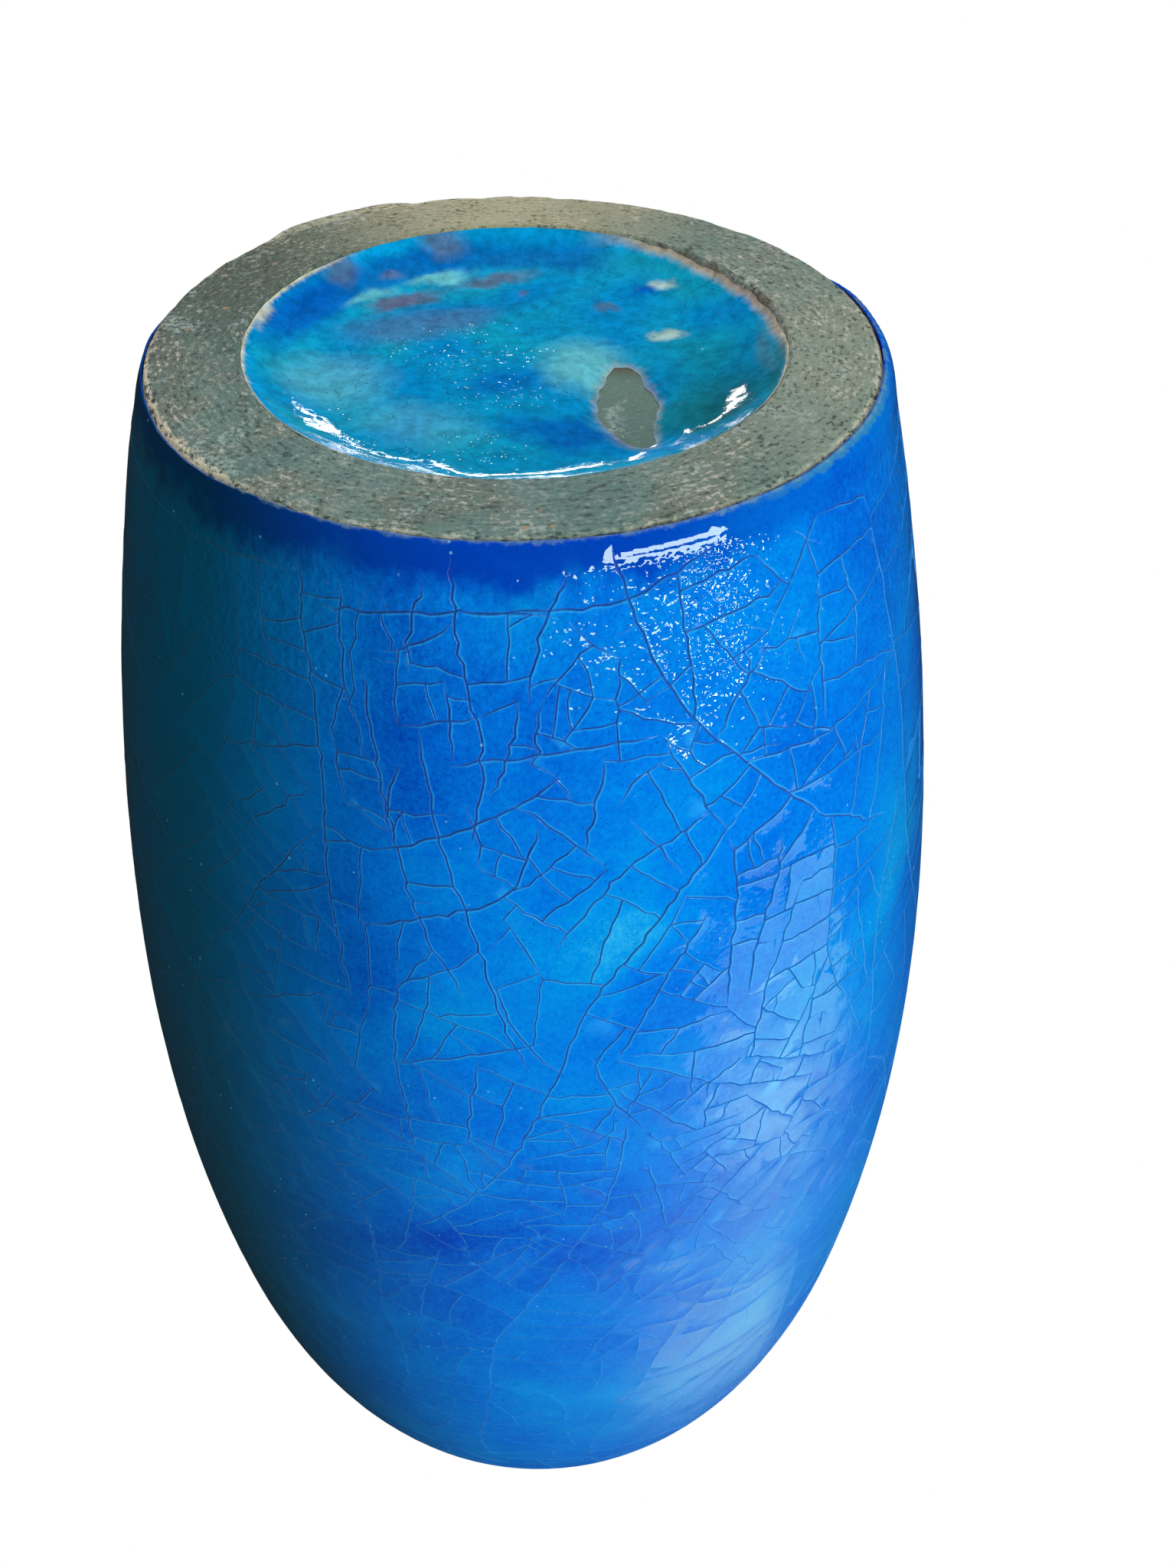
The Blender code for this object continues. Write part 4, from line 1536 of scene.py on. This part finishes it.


# %% [markdown]
# ## Colours of the pool
# The pool is painted in layers: one colour after the other is laid as a soft blotch with a ragged
# outline, from the turquoise ground to the cobalt under the rim, the violet film where the glaze boiled, and
# the pale spots where it is thin. The paint is a colour attribute on the mesh. The finish adds grain and
# hairlines.

# %% Paint the pool
TURQUOISE = (0.004, 0.330, 0.500)
CERULEAN = (0.000, 0.230, 0.560)
BRIGHT = (0.000, 0.340, 0.720)
COBALT = (0.000, 0.100, 0.460)
TEAL = (0.004, 0.190, 0.260)
DARK_TEAL = (0.006, 0.095, 0.110)
PALE = (0.130, 0.500, 0.580)
MILKY = (0.420, 0.580, 0.540)
VIOLET = (0.060, 0.170, 0.370)
RUST = (0.110, 0.120, 0.210)
SLATE = (0.070, 0.140, 0.280)
BEIGE = (0.480, 0.370, 0.260)
CREAM = (0.640, 0.600, 0.460)
OLIVE = (0.090, 0.160, 0.125)
BLOTCHES = (
    (TEAL, -26, -6, 9, 16, 0, 0.55), (DARK_TEAL, -26, -11, 6, 9, 20, 0.60),
    (DARK_TEAL, -21, -15, 6, 4, 40, 0.45), (OLIVE, -33, 0, 1.4, 7, 0, 0.40),
    (CERULEAN, 3, -6, 20, 9, 0, 0.45), (CERULEAN, -13, 15, 8, 6, 0, 0.60),
    (COBALT, 30, 11, 4, 12, 20, 0.85), (COBALT, -6, -17, 8, 4, 10, 0.80),
    (COBALT, 1.5, -4.8, 6, 3.5, -20, 0.50), (COBALT, 8, 15, 12, 4, -15, 0.35),
    (VIOLET, 14.5, 10, 8.5, 4.5, -18, 0.70), (VIOLET, 8, 13, 5, 3, -20, 0.50),
    (RUST, 4.4, 24.2, 6.2, 1.7, -20, 0.75), (RUST, 17.2, 17, 4.2, 1.4, -39, 0.85),
    (RUST, 19.4, 23.8, 1.4, 0.9, 0, 0.6), (RUST, 14.4, 18.4, 4, 1.4, -30, 0.70),
    (RUST, 0.8, 19.9, 1, 0.8, 0, 0.6), (PALE, 12, 24.2, 4.6, 1.9, -23, 0.95),
    (PALE, 21, 17.8, 4.2, 1.5, -35, 0.75), (MILKY, -19.5, 21.9, 2.4, 1.2, -8, 0.90),
    (MILKY, -19.4, 8.1, 2.2, 1.2, -5, 0.90), (PALE, -8.4, 0, 5.5, 6.5, 0, 0.85),
    (PALE, 23, -5, 7.5, 6.5, 0, 0.50), (PALE, 11.5, -15, 8, 5, 20, 0.30),
    (CREAM, 34.6, 6, 0.9, 3, 10, 0.8), (SLATE, 12.6, 31.8, 3.4, 2.8, 20, 0.90),
    (SLATE, 26.8, 21.6, 3.2, 2.8, -40, 0.85), (COBALT, -16.4, 20.6, 2, 1.1, 0, 0.95),
    (SLATE, -11.1, 16.1, 1.7, 1.1, 0, 0.85),
)


def laid_over(paint_now, colour, share):
    return paint_now + (np.array(colour) - paint_now) * np.clip(share, 0, 1)[:, None]


def blotched(colours, spots):
    """All blotches laid over the ground, each an ellipse with soft ends."""
    for colour, x, y, wide, deep, degrees, strength in BLOTCHES:
        turn = math.radians(degrees)
        across = (spots[:, 0] - x) * math.cos(turn) + (spots[:, 1] - y) * math.sin(turn)
        upward = (spots[:, 1] - y) * math.cos(turn) - (spots[:, 0] - x) * math.sin(turn)
        gap = np.hypot(across / wide, upward / deep)
        share = 1 - np.clip((gap - 0.55) / 0.75, 0, 1) ** 0.8
        colours = laid_over(colours, colour, strength * share)
    return colours


def edged(colours, level, rim_gap, patch_gap):
    """Beige and cream where the glaze thins out at its edges."""
    grainy = 0.0003 * noise_at(level, 1500, 2)
    bare_rim = np.clip(1.4 - (rim_gap + grainy) / 0.0010, 0, 1) * around(level, 112, 182, 20)
    colours = laid_over(colours, BEIGE, bare_rim * 0.9)
    colours = laid_over(colours, BEIGE, np.clip(1.3 - (patch_gap + 2 * grainy) / 0.0007, 0, 1) * 0.45)
    pale_rim = np.clip(1.2 - (rim_gap + grainy) / 0.0004, 0, 1) * around(level, -190, 40, 20)
    return laid_over(colours, CREAM, pale_rim)


def boiled_share(spots):
    """Where the glaze boiled into small bubbles, from 0 to 1."""
    boiled = np.zeros(len(spots))
    for x, y, spread, count in BUBBLE_FIELDS:
        gap = np.hypot(spots[:, 0] - x, 1.6 * (spots[:, 1] - y)) / (1.5 * spread)
        boiled = np.maximum(boiled, min(count / 20, 1) * np.exp(-gap ** 2))
    return boiled


def paint_pool(piece, flat, rim_gap, patch_gap):
    level = as_places(flat)
    run = np.hypot(flat[:, 0], flat[:, 1])
    drift = [noise_at(level, 260, shift) + 0.5 * noise_at(level, 800, shift) for shift in (4, 9)]
    drift = 0.0012 * np.stack(drift, axis=1)
    spots = (flat + drift) * 1000
    colours = np.tile(TURQUOISE, (len(flat), 1))
    colours = laid_over(colours, CERULEAN, 0.5 + 0.9 * noise_at(level, 120, 6))
    under_rim = np.clip((run + drift[:, 1] - 0.0255) / 0.004, 0, 1)
    under_rim *= around(level + as_places(drift), 15, 112, 24)
    colours = laid_over(colours, COBALT, 0.75 * under_rim)
    on_wall = np.clip((run + drift[:, 0] - 0.0333) / 0.0015, 0, 1)
    colours = laid_over(colours, BRIGHT, on_wall * around(level, -100, 124, 20) * 0.85)
    colours = laid_over(colours, TEAL, on_wall * around(level, -185, -118, 20) * 0.8)
    colours = edged(blotched(colours, spots), level, rim_gap, patch_gap)
    boiled = boiled_share(spots)
    paint(piece.data, "boiled", np.concatenate([boiled, boiled]))
    both = np.concatenate([colours, colours])
    paint_layer = piece.data.attributes.new("paint", "FLOAT_COLOR", "POINT")
    paint_layer.data.foreach_set("color", np.c_[both, np.ones(len(both))].astype(np.float32).ravel())


pool, pool_flat, pool_rim_gap, pool_patch_gap = lay_pool()
paint_pool(pool, pool_flat, pool_rim_gap, pool_patch_gap)
finish_mesh(pool, 40)

# %% Make the pool's finish
HAIRLINE = (0.0, 0.05, 0.14)
POOL_SPECK = (0.01, 0.06, 0.12)


def hairlines(tree):
    """Fine crazing: edges of cells on bent coordinates, faint and patchy."""
    place = object_place(tree)
    warp = add_node(tree, "ShaderNodeTexNoise", [("Vector", place), ("Scale", 300.0)]).outputs["Color"]
    bend = [(0, warp), (1, (0.004, 0.004, 0.0))]
    bend = add_node(tree, "ShaderNodeVectorMath", bend, operation="MULTIPLY").outputs[0]
    moved = add_node(tree, "ShaderNodeVectorMath", [(0, place), (1, bend)], operation="ADD").outputs[0]
    pairs = [("Vector", moved), ("Scale", 150.0)]
    cells = add_node(tree, "ShaderNodeTexVoronoi", pairs, feature="DISTANCE_TO_EDGE")
    lines = between(tree, cells.outputs["Distance"], 0.006, 0.016, 1.0, 0.0)
    return times(tree, lines, between(tree, grain(tree, 110), 0.46, 0.58, 0.0, 0.30))


def pool_finish():
    material, tree, shader = new_finish("turquoise_pool")
    painted = add_node(tree, "ShaderNodeAttribute", attribute_name="paint").outputs["Color"]
    mottle = between(tree, grain(tree, 480, 5, 0.72), 0.3, 0.7, 0.72, 1.20)
    shade = add_node(tree, "ShaderNodeCombineColor", [(0, mottle), (1, mottle), (2, mottle)]).outputs[0]
    blue = mixed(tree, 1.0, painted, shade, "MULTIPLY")
    blue = tinted(tree, blue, HAIRLINE, hairlines(tree))
    blue = tinted(tree, blue, POOL_SPECK, strewn_dots(tree, 800, 0.08, 0.2, 170, 0.50, 0.60), 0.6)
    tree.links.new(blue, shader.inputs["Base Color"])
    shader.inputs["Roughness"].default_value = 0.07
    ripples = bumped(tree, grain(tree, 900, 3, 0.6), 0.10, 0.0003)
    fizz = times(tree, strewn_dots(tree, 1300, 0.10, 0.45, 420, 0.45, 0.60), layer(tree, "boiled"))
    tree.links.new(bumped(tree, fizz, 0.9, 0.00016, ripples), shader.inputs["Normal"])
    return material


pool.data.materials.append(pool_finish())
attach(pool, "root")
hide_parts("base_glaze")
